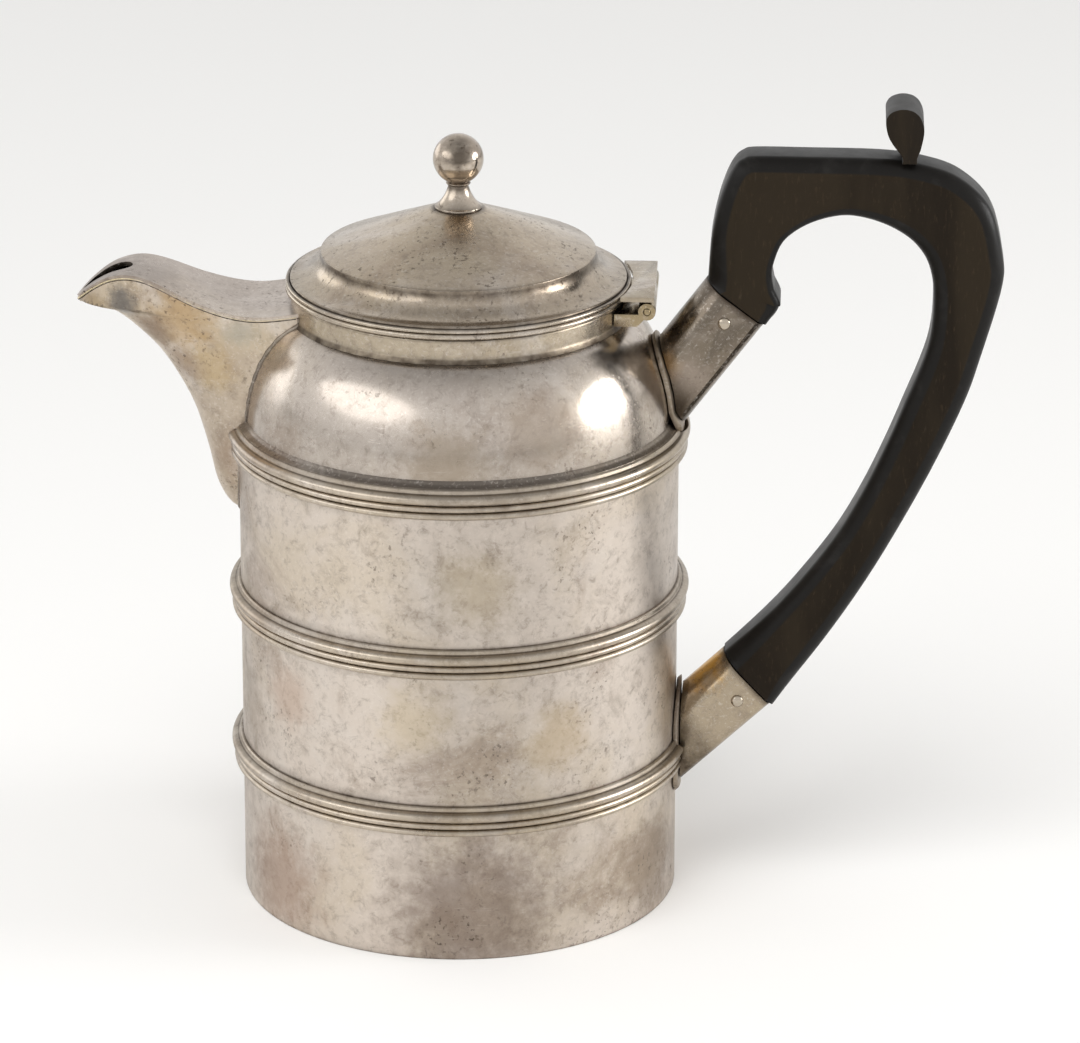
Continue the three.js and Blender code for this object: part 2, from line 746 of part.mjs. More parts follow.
// Hinge: two knuckles on a bracket from the neck, and one between them under the lid's leaf
const leafBottom = lidBase + hingeLeafLift;
const hingeX = collarRadius + hingeReach;
const hingeZ = leafBottom - seam - knuckleRadius;
const leafEdge = hingeX + hingeLeafOverrun;
const halfHinge = hingeWidth / 2;
const halfMiddle = middleKnuckle / 2;
const hingeBore = crossBar(hingeX, hingeZ, hingePinRadius + pinGap, -hingeWidth, hingeWidth);
const bracketTop = hingeZ - bracketDrop;
const bracketShape = new THREE.Shape([
  new THREE.Vector2(crownRadius, bracketTop - bracketDepth),
  new THREE.Vector2(hingeX - knuckleRadius * 1.1, bracketTop - bracketDepth),
  new THREE.Vector2(hingeX - knuckleRadius * 0.3, hingeZ - knuckleRadius * 0.9),
  new THREE.Vector2(hingeX - knuckleRadius * 0.3, bracketTop),
  new THREE.Vector2(crownRadius, bracketTop),
]);
const middleRoom = crossBar(
  hingeX,
  hingeZ,
  knuckleRadius + runningGap,
  -halfMiddle - runningGap,
  halfMiddle + runningGap,
);
const bodyLeaf = solid(slab(bracketShape, hingeWidth))
  .subtract(bodyEnvelope(seam))
  .add(crossBar(hingeX, hingeZ, knuckleRadius, -halfHinge, halfHinge))
  .subtract(middleRoom)
  .subtract(hingeBore);
piece('hinge_leaf_body', surface(bodyLeaf), silver);

const webShape = new THREE.Shape([
  new THREE.Vector2(hingeX - knuckleRadius * 0.6, hingeZ),
  new THREE.Vector2(leafEdge, hingeZ),
  new THREE.Vector2(leafEdge, leafBottom + hingeLeaf / 2),
  new THREE.Vector2(hingeX - knuckleRadius * 0.6, leafBottom + hingeLeaf / 2),
]);
const lidLeaf = solid(block([collarInner, leafEdge], hingeWidth, [leafBottom, leafBottom + hingeLeaf]))
  .subtract(post(rimOuter + seam, lidBase - 1, domeBase))
  .add(solid(slab(webShape, middleKnuckle)))
  .add(crossBar(hingeX, hingeZ, knuckleRadius, -halfMiddle, halfMiddle))
  .subtract(hingeBore);
piece('hinge_leaf_lid', surface(lidLeaf), silver);

const pinEnd = halfHinge + hingePinProud;
piece('hinge_pin', surface(crossBar(hingeX, hingeZ, hingePinRadius, -pinEnd, pinEnd)), brightSilver);

export default jug;
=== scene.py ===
"""Looks of the silver hot water jug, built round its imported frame. Sizes are in millimetres
until a vertex is placed, and every piece keeps the place of the node it stands for."""

import math

import bpy
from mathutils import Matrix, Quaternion, Vector, geometry


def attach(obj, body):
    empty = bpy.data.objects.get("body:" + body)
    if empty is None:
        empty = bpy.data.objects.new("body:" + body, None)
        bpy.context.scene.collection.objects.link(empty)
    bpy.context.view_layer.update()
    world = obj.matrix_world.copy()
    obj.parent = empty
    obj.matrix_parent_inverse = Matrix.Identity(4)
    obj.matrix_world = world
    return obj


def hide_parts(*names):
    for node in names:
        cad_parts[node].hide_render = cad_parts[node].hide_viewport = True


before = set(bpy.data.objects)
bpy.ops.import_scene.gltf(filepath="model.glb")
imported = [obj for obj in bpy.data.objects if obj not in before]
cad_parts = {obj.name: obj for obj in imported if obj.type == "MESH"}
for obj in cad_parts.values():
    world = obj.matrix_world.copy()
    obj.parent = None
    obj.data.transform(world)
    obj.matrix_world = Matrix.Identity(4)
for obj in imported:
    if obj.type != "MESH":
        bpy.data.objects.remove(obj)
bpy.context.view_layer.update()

MM = 0.001
QUARTER = math.pi / 2


# Sizes of the jug, the same as the frame's

DRUM_RADIUS = 40.5
DRUM_INNER = 39.6
DRUM_HEIGHT = 91.15
SHOULDER_RISE = 21.06
SHOULDER_RADIUS = 39.35
SHOULDER_WALL = 0.9
CROWN_RADIUS = 28.1
COLLAR_RADIUS = 30.6
COLLAR_INNER = 29.7
COLLAR_TOP = 115.9
BANDS = {"band_lower": 24.8, "band_middle": 55.35, "band_upper": 85.9}
BAND_HEIGHT = 5.5
SPOUT_REACH = 29.5
SPOUT_RISE = 21.7
SPOUT_DROP = 18.5
SPOUT_HALF = 11.5
SPOUT_WALL = 0.85
COVER_WALL = 0.8
SLOT_HALF = 2.3
SLOT_LENGTH = 9.4
SOCKET_HALF = 5.5
SOCKET_REACH = 6.65
OUTER_CAP = (-2.55, 4.1)
INNER_CAP = (4.55, 2.1)
PIN_SHANK = 0.85
PIN_HEAD = 1.15
WOOD_HALF = 5.5
HANDLE_REACH = 48.1
HANDLE_RISE = 27.9
THUMB_HEIGHT = 10.3
LID_BASE = 116.2
LID_RADIUS = 30.75
LID_WALL = 0.8
DOME_RADIUS = 25.1
DOME_BASE = 123.4
DOME_TOP = 131.3
BALL_RADIUS = 4.62
NECK_RADIUS = 1.87
HINGE_X = 34.7
HINGE_Z = 115.45


# Ways of making pieces


def start():
    """Leaves edit mode and lets go of everything."""
    if bpy.context.object and bpy.context.object.mode != "OBJECT":
        bpy.ops.object.mode_set(mode="OBJECT")
    bpy.ops.object.select_all(action="DESELECT")


def pick(piece):
    start()
    piece.select_set(True)
    bpy.context.view_layer.objects.active = piece


def apply_modifier(piece, kind, **settings):
    pick(piece)
    modifier = piece.modifiers.new(kind.lower(), kind)
    for key, value in settings.items():
        setattr(modifier, key, value)
    bpy.ops.object.modifier_apply(modifier=modifier.name)


def tidy_mesh(piece, fill=False):
    """Merges the points that meet, closes open ends if asked, and turns the faces outwards."""
    pick(piece)
    bpy.ops.object.mode_set(mode="EDIT")
    bpy.ops.mesh.select_all(action="SELECT")
    bpy.ops.mesh.remove_doubles(threshold=1e-6)
    bpy.ops.mesh.dissolve_degenerate(threshold=1e-7)
    if fill:
        bpy.ops.mesh.select_all(action="SELECT")
        bpy.ops.mesh.fill_holes(sides=0)
    bpy.ops.mesh.select_all(action="SELECT")
    bpy.ops.mesh.normals_make_consistent(inside=False)
    bpy.ops.object.mode_set(mode="OBJECT")


def turned(name, profile, sides=160):
    """Spins a profile of (radius, height) points round the jug's axis."""
    start()
    bpy.ops.mesh.primitive_circle_add(vertices=len(profile), radius=0.01)
    piece = bpy.context.object
    piece.name = piece.data.name = name
    for vertex, (radius, height) in zip(piece.data.vertices, profile):
        vertex.co = Vector((radius, 0, height)) * MM
    bpy.ops.object.mode_set(mode="EDIT")
    bpy.ops.mesh.select_all(action="SELECT")
    bpy.ops.mesh.spin(steps=sides, angle=math.tau, center=(0, 0, 0), axis=(0, 0, 1))
    tidy_mesh(piece)
    return piece


def skin(name, rows, fill=False):
    """Stretches a grid over rows of points. Rows that end where they start make a tube."""
    start()
    bpy.ops.mesh.primitive_grid_add(x_subdivisions=len(rows[0]) - 1, y_subdivisions=len(rows) - 1, size=0.01)
    piece = bpy.context.object
    piece.name = piece.data.name = name
    points = [point for row in rows for point in row]
    for vertex, point in zip(piece.data.vertices, points):
        vertex.co = Vector(point) * MM
    tidy_mesh(piece, fill)
    return piece


def prism(name, outline, push):
    """Pushes a flat outline of points out by a length."""
    start()
    bpy.ops.mesh.primitive_circle_add(vertices=len(outline), radius=0.01, fill_type="NGON")
    piece = bpy.context.object
    piece.name = piece.data.name = name
    for vertex, point in zip(piece.data.vertices, outline):
        vertex.co = Vector(point) * MM
    bpy.ops.object.mode_set(mode="EDIT")
    bpy.ops.mesh.select_all(action="SELECT")
    bpy.ops.mesh.extrude_region_move(TRANSFORM_OT_translate={"value": Vector(push) * MM})
    tidy_mesh(piece)
    return piece


def cut(piece, tool, operation="DIFFERENCE"):
    """Cuts a tool out of a piece, or joins it on, and throws the tool away."""
    apply_modifier(piece, "BOOLEAN", operation=operation, solver="EXACT", object=tool)
    bpy.data.objects.remove(tool)


SHARP = math.radians(35)
NEARLY_FLAT = math.radians(0.6)


def softened(name, node, width):
    """A copy of a frame node with its sharp edges eased."""
    start()
    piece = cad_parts[node].copy()
    piece.data = piece.data.copy()
    piece.name = piece.data.name = name
    piece.parent = None
    for key in list(piece.keys()):
        del piece[key]
    bpy.context.scene.collection.objects.link(piece)
    pick(piece)
    bpy.ops.object.mode_set(mode="EDIT")
    bpy.ops.mesh.select_all(action="SELECT")
    bpy.ops.mesh.remove_doubles(threshold=2e-6)
    bpy.ops.mesh.customdata_custom_splitnormals_clear()
    bpy.ops.mesh.dissolve_limited(angle_limit=NEARLY_FLAT)
    bpy.ops.object.mode_set(mode="OBJECT")
    apply_modifier(
        piece, "BEVEL", width=width * MM, segments=2, limit_method="ANGLE", angle_limit=SHARP,
        use_clamp_overlap=True,
    )
    return piece


def finish(piece, material, slot, *nodes, body="jug", angle=30):
    """Shades a piece, gives it its material, hangs it on its body and hides the nodes it stands for."""
    pick(piece)
    bpy.ops.object.shade_smooth_by_angle(angle=math.radians(angle))
    piece.data.materials.clear()
    piece.data.materials.append(material)
    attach(piece, body)
    if nodes:
        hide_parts(*nodes)


# Curves


def arc(middle, radii, start, end, steps):
    """Points of an ellipse from one angle to another, in equal steps."""
    points = []
    for i in range(steps + 1):
        a = start + (end - start) * i / steps
        points.append((middle[0] + radii[0] * math.cos(a), middle[1] + radii[1] * math.sin(a)))
    return points


def bend(first, towards, last, steps):
    """A curve from a point to another, drawn towards the one between."""
    points = []
    for i in range(steps + 1):
        t = i / steps
        s = 1 - t
        points.append(tuple(s * s * a + 2 * s * t * b + t * t * c for a, b, c in zip(first, towards, last)))
    return points


def swell(t, early, late):
    """A share that grows from 0 to 1 on a cubic curve with an early and a late handle."""
    s = 1 - t
    return 3 * s * s * t * early + 3 * s * t * t * late + t ** 3


def through(points, steps):
    """A smooth line through points."""
    last = len(points) - 1
    line = []
    for i in range(last):
        a, b, c, d = (points[min(max(i + k, 0), last)] for k in (-1, 0, 1, 2))
        for j in range(steps):
            t = j / steps
            line.append(tuple(
                0.5 * (2 * q + (r - p) * t + (2 * p - 5 * q + 4 * r - s) * t * t
                       + (3 * q - p - 3 * r + s) * t ** 3)
                for p, q, r, s in zip(a, b, c, d)
            ))
    line.append(tuple(points[-1]))
    return line


def along(line, x):
    """The height of a line of (x, height) points at x."""
    for (x0, z0), (x1, z1) in zip(line, line[1:]):
        if (x0 - x) * (x1 - x) <= 0 and x0 != x1:
            return z0 + (z1 - z0) * (x - x0) / (x1 - x0)
    return line[0][1] if abs(x - line[0][0]) < abs(x - line[-1][0]) else line[-1][1]


CORNER_STEPS = 4
LONGEST_HOLD = 0.3


def eased(corners):
    """Rounds the corners of a closed profile. Each corner is (radius, height, rounding), and a
    short straight on both sides keeps the shading of the flats even."""
    profile = []
    count = len(corners)
    for i, (x, y, rounding) in enumerate(corners):
        here = Vector((x, y))
        if rounding == 0:
            profile.append((x, y))
            continue
        before = Vector(corners[i - 1][:2]) - here
        after = Vector(corners[(i + 1) % count][:2]) - here
        into, out = before.normalized(), after.normalized()
        half = into.angle(out) / 2
        reach = rounding / math.tan(half)
        hold = reach + min(LONGEST_HOLD, (min(before.length, after.length) - reach) * 0.3)
        middle = here + (into + out).normalized() * (rounding / math.sin(half))
        first, last = here + into * reach - middle, here + out * reach - middle
        turn = first.angle_signed(last)
        profile.append(tuple(here + into * hold))
        for k in range(CORNER_STEPS + 1):
            a = -turn * k / CORNER_STEPS
            profile.append((
                middle.x + first.x * math.cos(a) - first.y * math.sin(a),
                middle.y + first.x * math.sin(a) + first.y * math.cos(a),
            ))
        profile.append(tuple(here + out * hold))
    return profile


def bulge(wall, proud, low, high, steps=10):
    """Half an ellipse that stands out from a wall."""
    return arc((wall, (low + high) / 2), (proud, (high - low) / 2), -QUARTER, QUARTER, steps)[1:-1]


# Materials


def linear(code):
    """An sRGB hex colour as linear RGBA."""
    parts = [int(code[i:i + 2], 16) / 255 for i in (1, 3, 5)]
    return tuple(
        c / 12.92 if c <= 0.04045 else ((c + 0.055) / 1.055) ** 2.4 for c in parts
    ) + (1,)


def feed(tree, node, inputs):
    """Gives a node its values and links. A node given as a value stands for its open output."""
    for key, value in inputs.items():
        if isinstance(value, bpy.types.Node):
            value = next(output for output in value.outputs if output.enabled)
        if isinstance(value, bpy.types.NodeSocket):
            tree.links.new(value, node.inputs[key])
        else:
            node.inputs[key].default_value = value


def add(tree, kind, inputs=(), **settings):
    """Adds a shader node with its settings, values and links, and returns it."""
    node = tree.nodes.new("ShaderNode" + kind)
    for key, value in settings.items():
        setattr(node, key, value)
    feed(tree, node, dict(inputs))
    return node


def ramp_stops(node, stops):
    """Sets a colour ramp's stops from (position, grey) pairs."""
    elements = node.color_ramp.elements
    for position, value in stops[1:-1]:
        elements.new(position)
    for element, (position, value) in zip(elements, stops):
        element.position = position
        element.color = (value, value, value, 1)
    return node


def layered(tree, place, base, layers):
    """A base colour under patches of other colours. Each patch is (size in mm, detail, roughness,
    where it starts, where it is full, colour, amount)."""
    colour = base
    for size, detail, rough, low, high, tint, amount in layers:
        cloud = add(tree, "TexNoise", {
            "Vector": place, "Scale": 1 / (size * MM), "Detail": detail, "Roughness": rough,
            "Distortion": 0.5,
        })
        share = add(tree, "MapRange", {
            0: cloud, 1: low, 2: high, 4: amount,
        }, interpolation_type="SMOOTHSTEP")
        colour = add(tree, "Mix", {"Factor": share, "A": colour, "B": linear(tint)}, data_type="RGBA")
    return colour


def blank(name):
    """A new material, with its node tree, its shader and the place on the piece."""
    material = bpy.data.materials.new(name)
    material.use_nodes = True
    tree = material.node_tree
    return material, tree, tree.nodes["Principled BSDF"], add(tree, "TexCoord").outputs["Object"]


UP = (0, 0, 1)
SIDEWAYS = (1, 0, 0)
ROUND_THE_AXIS = None


def aged_silver(name, tone, patches, specks, gloss, grime_and_shade=(), stains_and_painted_light=()):
    """Sterling silver, raised and soldered by hand and long unpolished. Air has left a thin
    tarnish in drifting patches, straw and pinkish brown by turns, cloths have left fine
    scratches, and old polish stays dark in every groove and along each seam. Grime in the
    grooves, and painted shade across the sides, lie across a direction, or round the axis, as
    (direction, [(mm, amount), ...]). Stains and painted light are (point, reach, colour,
    amount): real stains on most pieces, and painted glints and a painted reflection on the
    sockets and the finial."""
    material, tree, shader, place = blank(name)

    # Patches of 38, 24, 17 and 7 mm, then a mottle of 2 mm and a grain of 0.6 mm
    colour = layered(tree, place, linear(tone), [
        (38, 5, 0.6, 0.46, 0.64, "#c6b699", 0.4 * patches),
        (24, 6, 0.66, 0.5, 0.68, "#94806f", 0.6 * patches),
        (17, 5, 0.62, 0.52, 0.68, "#d8cfc6", 0.6 * patches),
        (7, 7, 0.72, 0.5, 0.72, "#857769", 0.45 * patches),
        (2.0, 6, 0.75, 0.48, 0.72, "#82756a", 0.5),
        (0.6, 3, 0.6, 0.52, 0.75, "#e6ded5", 0.35),
    ])

    # Clouds of the sizes in mm that stains, wear, dirt and hammer marks have
    clouds = {}
    for use, size, detail, rough in (
        ("fray", 3, 5, 0.65), ("worn", 10, 2, 0.5), ("drift", 12, 4, 0.6), ("dots", 0.9, 3, 0.6),
        ("dull", 9, 6, 0.65), ("waves", 15, 1.5, 0.5), ("grain", 0.7, 4, 0.7),
    ):
        clouds[use] = add(tree, "TexNoise", {
            "Vector": place, "Scale": 1 / (size * MM), "Detail": detail, "Roughness": rough,
        })

    # Stains and painted light, frayed at their edges
    for spot, reach, tint, amount in stains_and_painted_light:
        off = add(tree, "VectorMath", {0: place, 1: Vector(spot) * MM}, operation="DISTANCE")
        loose = add(tree, "Math", {0: clouds["fray"], 1: -reach * MM, 2: off}, operation="MULTIPLY_ADD")
        share = add(tree, "MapRange", {
            0: loose, 1: -0.3 * reach * MM, 2: 0.4 * reach * MM, 3: amount, 4: 0.0,
        }, interpolation_type="SMOOTHSTEP")
        colour = add(tree, "Mix", {"Factor": share, "A": colour, "B": linear(tint)}, data_type="RGBA")

    # Rubbing scratches, drawn about 0.2 mm wide so that they show, in three directions
    marks = 0.0
    for turn, stretch, low in ((0.5, 0.07, 0.68), (-0.75, 0.08, 0.69), (1.35, 0.1, 0.69)):
        laid = add(tree, "Mapping", {
            "Vector": place, "Rotation": (0, turn, 0.2), "Scale": (stretch, 0.3, 1),
        })
        lines = add(tree, "TexNoise", {"Vector": laid, "Scale": 1 / (0.4 * MM), "Detail": 2})
        lines = add(tree, "MapRange", {0: lines, 1: low, 2: low + 0.05})
        marks = add(tree, "Math", {0: marks, 1: lines}, operation="MAXIMUM")
    worn = add(tree, "MapRange", {0: clouds["worn"], 1: 0.42, 2: 0.6})
    marks = add(tree, "Math", {0: marks, 1: worn}, operation="MULTIPLY")
    faint = add(tree, "Math", {0: marks, 1: 0.17}, operation="MULTIPLY")
    colour = add(tree, "Mix", {"Factor": faint, "A": colour, "B": linear("#efe9e0")}, data_type="RGBA")

    # Pits and specks of dirt, 0.3 to 0.8 mm, in drifts
    drift = add(tree, "MapRange", {0: clouds["drift"], 1: 0.62 - 0.24 * specks, 2: 0.78 - 0.2 * specks})
    dots = add(tree, "MapRange", {0: clouds["dots"], 1: 0.58, 2: 0.66})
    dots = add(tree, "Math", {0: dots, 1: drift}, operation="MULTIPLY")
    spotted = add(tree, "Math", {0: dots, 1: 0.65}, operation="MULTIPLY")
    colour = add(tree, "Mix", {"Factor": spotted, "A": colour, "B": linear("#574b41")}, data_type="RGBA")

    # Dark tarnish in grooves and beside seams, and painted shade across the sides, uneven along their length
    dark = 0.0
    for way, stops in grime_and_shade:
        if way is ROUND_THE_AXIS:
            level = add(tree, "VectorMath", {0: place, 1: (1, 1, 0)}, operation="MULTIPLY")
            across = add(tree, "VectorMath", {0: level}, operation="LENGTH")
        else:
            across = add(tree, "VectorMath", {0: place, 1: way}, operation="DOT_PRODUCT")
        low, high = stops[0][0], stops[-1][0]
        share = add(tree, "MapRange", {0: across, 1: low * MM, 2: high * MM})
        ramp = add(tree, "ValToRGB", {0: share})
        ramp_stops(ramp, [((mm - low) / (high - low), amount) for mm, amount in stops])
        dark = add(tree, "Math", {0: dark, 1: ramp}, operation="MAXIMUM")
    uneven = add(tree, "MapRange", {0: clouds["fray"], 1: 0.3, 2: 0.7, 3: 0.65, 4: 1.2})
    dark = add(tree, "Math", {0: dark, 1: uneven}, operation="MULTIPLY")
    colour = add(tree, "Mix", {"Factor": dark, "A": colour, "B": linear("#40362d")}, data_type="RGBA")

    # Duller in clouds, wherever it is dirty, and under the painted shade
    rough = add(tree, "MapRange", {0: clouds["dull"], 1: 0.3, 2: 0.75, 3: gloss - 0.03, 4: gloss + 0.15})
    for share in (dots, dark):
        rough = add(tree, "Math", {0: share, 1: 0.2, 2: rough}, operation="MULTIPLY_ADD")

    # Slow waves left by the hammer, then the grain, and the scratches and pits sunk in
    scored = add(tree, "Math", {0: marks, 1: dots}, operation="ADD")
    normal = {}
    for relief, strength, depth in (
        (clouds["waves"], 0.35, 0.35), (clouds["grain"], 0.12, 0.02), (scored, 0.35, -0.02),
    ):
        inputs = {"Height": relief, "Strength": strength, "Distance": abs(depth) * MM, **normal}
        normal = {"Normal": add(tree, "Bump", inputs, invert=depth < 0)}
    feed(tree, shader, {"Base Color": colour, "Roughness": rough, "Metallic": 1.0, **normal})
    return material


def ebony(name, edge, face, flat_from, gloss):
    """Ebony, sawn, rasped and waxed. The rounded edges are worn to a black satin, and the flat
    sides, from a distance in Y onwards, have dried to a brown black with short reddish flecks
    along the grain and a little dust."""
    material, tree, shader, place = blank(name)
    parts = add(tree, "SeparateXYZ", {0: place})
    across = add(tree, "Math", {0: parts.outputs["Y"]}, operation="ABSOLUTE")
    flat = add(tree, "MapRange", {0: across, 1: (flat_from - 0.12) * MM, 2: flat_from * MM})
    grain = add(tree, "Mapping", {"Vector": place, "Rotation": (0, 0.35, 0), "Scale": (1, 1, 0.22)})
    rounded = layered(tree, place, linear(edge), [
        (6, 5, 0.6, 0.5, 0.75, "#2b2927", 0.5),
        (1.0, 6, 0.75, 0.62, 0.78, "#55504a", 0.2),
    ])
    side = layered(tree, grain, linear(face), [
        (20, 4, 0.6, 0.42, 0.62, "#322a1f", 0.6),
        (0.5, 3, 0.6, 0.55, 0.75, "#3f3325", 0.5),
        (1.0, 6, 0.75, 0.6, 0.78, "#564c40", 0.3),
    ])
    colour = add(tree, "Mix", {"Factor": flat, "A": rounded, "B": side}, data_type="RGBA")
    dull = add(tree, "TexNoise", {"Vector": place, "Scale": 1 / (5 * MM), "Detail": 5, "Roughness": 0.6})
    rough = add(tree, "MapRange", {0: dull, 1: 0.3, 2: 0.7, 3: gloss - 0.04, 4: gloss + 0.1})
    rough = add(tree, "Math", {0: flat, 1: 0.15, 2: rough}, operation="MULTIPLY_ADD")
    sheen = add(tree, "MapRange", {0: flat, 3: 0.17, 4: 0.08})
    pores = add(tree, "TexNoise", {"Vector": grain, "Scale": 1 / (0.45 * MM), "Detail": 3, "Roughness": 0.6})
    pores = add(tree, "Bump", {"Height": pores, "Strength": 0.25, "Distance": 0.05 * MM})
    feed(tree, shader, {
        "Base Color": colour, "Roughness": rough, "Specular IOR Level": sheen, "Normal": pores,
    })
    return material


# Finishes of the jug

UPPER_WAY = (0.598, 0, 0.802)
LOWER_WAY = (0.728, 0, 0.686)

# Dirt up the drum: at its foot, and below and above each band
drum_grime = [(0, 0.55), (0.5, 0.15), (2.0, 0.03)]
for low in BANDS.values():
    high = low + BAND_HEIGHT
    drum_grime += [(low - 1.8, 0.03), (low - 0.5, 0.2), (low - 0.1, 0.7)]
    drum_grime += [(high, 0.8), (high + 0.3, 0.3), (high + 1.9, 0.03)]

# Painted shade across the jug from the spout's side to the handle's, over the body and over the lid: darker
# bands along x that stand in for uneven reflections
SIDE_PAINTED_SHADE = (SIDEWAYS, [
    (-41, 0.4), (-35, 0.16), (-31, 0.04), (-27, 0.0), (-15, 0.0), (-2, 0.26), (14, 0.26), (25, 0.16),
    (34, 0.1), (41, 0.28),
])
LID_PAINTED_SHADE = (SIDEWAYS, [(-31, 0.4), (-24, 0.25), (-10, 0.0), (12, 0.0), (22, 0.2), (31, 0.4)])

# Sheet silver, rolled and hammered true: a soft warm grey, with brown clouds near the foot and painted shade
# across its sides
silver_drum = aged_silver(
    "tarnished_sheet_silver_drum", "#d7ccc1", patches=0.9, specks=0.5, gloss=0.32,
    grime_and_shade=[(UP, drum_grime[:-2]), SIDE_PAINTED_SHADE],
    stains_and_painted_light=[
        ((4, -40, 9), 24, "#8a786c", 0.62),
        ((-32, -25, 9), 17, "#a0836f", 0.6),
        ((36, -18, 10), 15, "#8b7a67", 0.6),
        ((20, -35, 42), 10, "#bca273", 0.4),
        ((-6, -40, 46), 10, "#d3c09a", 0.4),
        ((-30, -28, 46), 9, "#b79882", 0.4),
        ((6, -40, 72), 11, "#b09f7e", 0.4),
        ((-37, -14, 40), 13, "#9c8b78", 0.5),
    ],
)

# Drawn silver wire: bright on the reeds and black in the grooves between them, with painted shade across its
# sides
silver_band = aged_silver(
    "reeded_silver_wire", "#c0b4a4", patches=0.8, specks=0.25, gloss=0.25,
    grime_and_shade=[
        (ROUND_THE_AXIS, [
            (40.5, 0.7), (40.75, 0.5), (41.0, 0.1), (41.25, 0.2), (41.42, 0.85), (41.7, 0.35), (42.0, 0.0),
            (42.7, 0.0),
        ]),
        SIDE_PAINTED_SHADE,
    ],
)

# Silver raised over a stake: close to a mirror, dark where it meets the drum and the neck
silver_shoulder = aged_silver(
    "raised_silver_shoulder", "#c3b9af", patches=0.7, specks=0.45, gloss=0.16,
    grime_and_shade=[(UP, [
        (88, 0.75), (91.4, 0.65), (92.0, 0.4), (93.2, 0.2), (97, 0.14), (101, 0.04), (108.0, 0.0),
        (110.8, 0.04), (112, 0.5),
    ])],
    stains_and_painted_light=[
        ((16, -34, 100), 12, "#9d8b79", 0.45),
        ((36, -12, 101), 9, "#857563", 0.5),
        ((0, -38, 95), 12, "#a2927d", 0.6),
    ],
)

# A ring of silver, straw coloured and dark at both edges
silver_collar = aged_silver(
    "neck_ring_silver", "#b8ab97", patches=0.9, specks=0.6, gloss=0.2,
    grime_and_shade=[(UP, [(111.4, 0.9), (112.2, 0.8), (112.55, 0.25), (113.5, 0.12), (115.3, 0.1), (115.95, 0.6)])],
)

# Raised silver full of fine pits, black in the corner at the dome's foot and round the finial, with painted
# shade at its left and right
silver_lid = aged_silver(
    "raised_silver_lid", "#c0b2a0", patches=0.7, specks=1.0, gloss=0.14,
    grime_and_shade=[LID_PAINTED_SHADE, (ROUND_THE_AXIS, [
        (4.0, 0.9), (4.6, 0.75), (5.4, 0.12), (23.8, 0.02), (24.7, 0.05), (25.02, 0.3), (25.12, 0.85),
        (25.4, 0.5), (25.8, 0.08), (28.0, 0.0), (30.0, 0.05), (30.5, 0.2), (30.8, 0.9),
    ])],
)

# Drawn wire on the lid's edge, dark where it is soldered on
silver_rim = aged_silver(
    "silver_edge_wire", "#b3a899", patches=0.7, specks=0.4, gloss=0.2,
    grime_and_shade=[(ROUND_THE_AXIS, [(30.8, 0.95), (31.2, 0.8), (31.38, 0.15), (31.7, 0.0)])],
)

# Bent sheet silver, stained straw and brown by hot water
silver_spout = aged_silver(
    "bent_silver_spout", "#bcae9d", patches=1.0, specks=0.7, gloss=0.28,
    stains_and_painted_light=[
        ((-61, -5, 114), 5, "#62605f", 0.8),
        ((-66, -3, 112), 5, "#94805f", 0.6),
        ((-50, -8, 111), 10, "#b59567", 0.55),
        ((-45, -8, 103), 8, "#b89e70", 0.5),
        ((-56, -6, 108), 7, "#7d6a5c", 0.65),
        ((-50, -6, 102), 6, "#8d7868", 0.5),
        ((-39, -9, 110), 5, "#a59f92", 0.7),
        ((-42, -6, 84), 8, "#a5917e", 0.5),
    ],
)

# Sheet silver that lies flat to the air, greyer towards the tip
silver_cover = aged_silver(
    "spout_cover_silver", "#b3a79d", patches=0.5, specks=0.9, gloss=0.26,
    stains_and_painted_light=[((-64, 0, 118), 10, "#857970", 0.8), ((-57, -3, 120), 12, "#8c8077", 0.7)],
)

# Folded sheet silver, its tone painted dark as the shade of the handle, with a painted gold glint at the
# foot
silver_socket_upper_painted_shade = aged_silver(
    "upper_socket_silver_painted_shade_and_glint", "#6c6359", patches=0.25, specks=0.6, gloss=0.17,
    grime_and_shade=[(UPPER_WAY, [(97, 0.8), (103, 0.45), (107, 0.08), (121.2, 0.05), (121.9, 0.45), (122.4, 0.9)])],
    # The gold patch at the foot is a painted glint
    stains_and_painted_light=[((38, -5.5, 103), 4.5, "#b08a50", 0.6), ((42, -5.5, 101), 7, "#9c8f83", 0.7)],
)

# The same lower down, brighter, with a broad gold patch on its top: golden tarnish with a painted highlight
silver_socket_lower_painted_glint = aged_silver(
    "lower_socket_silver_painted_glint", "#aa9c87", patches=0.6, specks=0.6, gloss=0.14,
    grime_and_shade=[(LOWER_WAY, [(48, 0.9), (53.5, 0.45), (56.5, 0.06), (66.4, 0.05), (67.1, 0.45), (67.7, 0.9)])],
    # Golden tarnish with a painted highlight on the top facet
    stains_and_painted_light=[((46, 0, 43.5), 8.5, "#c4943a", 0.95)],
)

# Cast silver, filed and left plain
silver_fitting = aged_silver("cast_silver_fittings", "#a59987", patches=1.0, specks=0.4, gloss=0.22)

# Thin plates run over with solder, dull and grey
silver_plate = aged_silver("soldered_silver_foot_plates", "#8b8074", patches=0.5, specks=0.8, gloss=0.42)

# Knuckles rubbed by use until they look like brass
silver_hinge = aged_silver("brassy_worn_silver_hinge", "#98886a", patches=0.6, specks=0.5, gloss=0.2)

# Pin heads that every hand rubs bright
silver_bright = aged_silver("handled_bright_silver", "#b3a898", patches=0.3, specks=0.15, gloss=0.1)

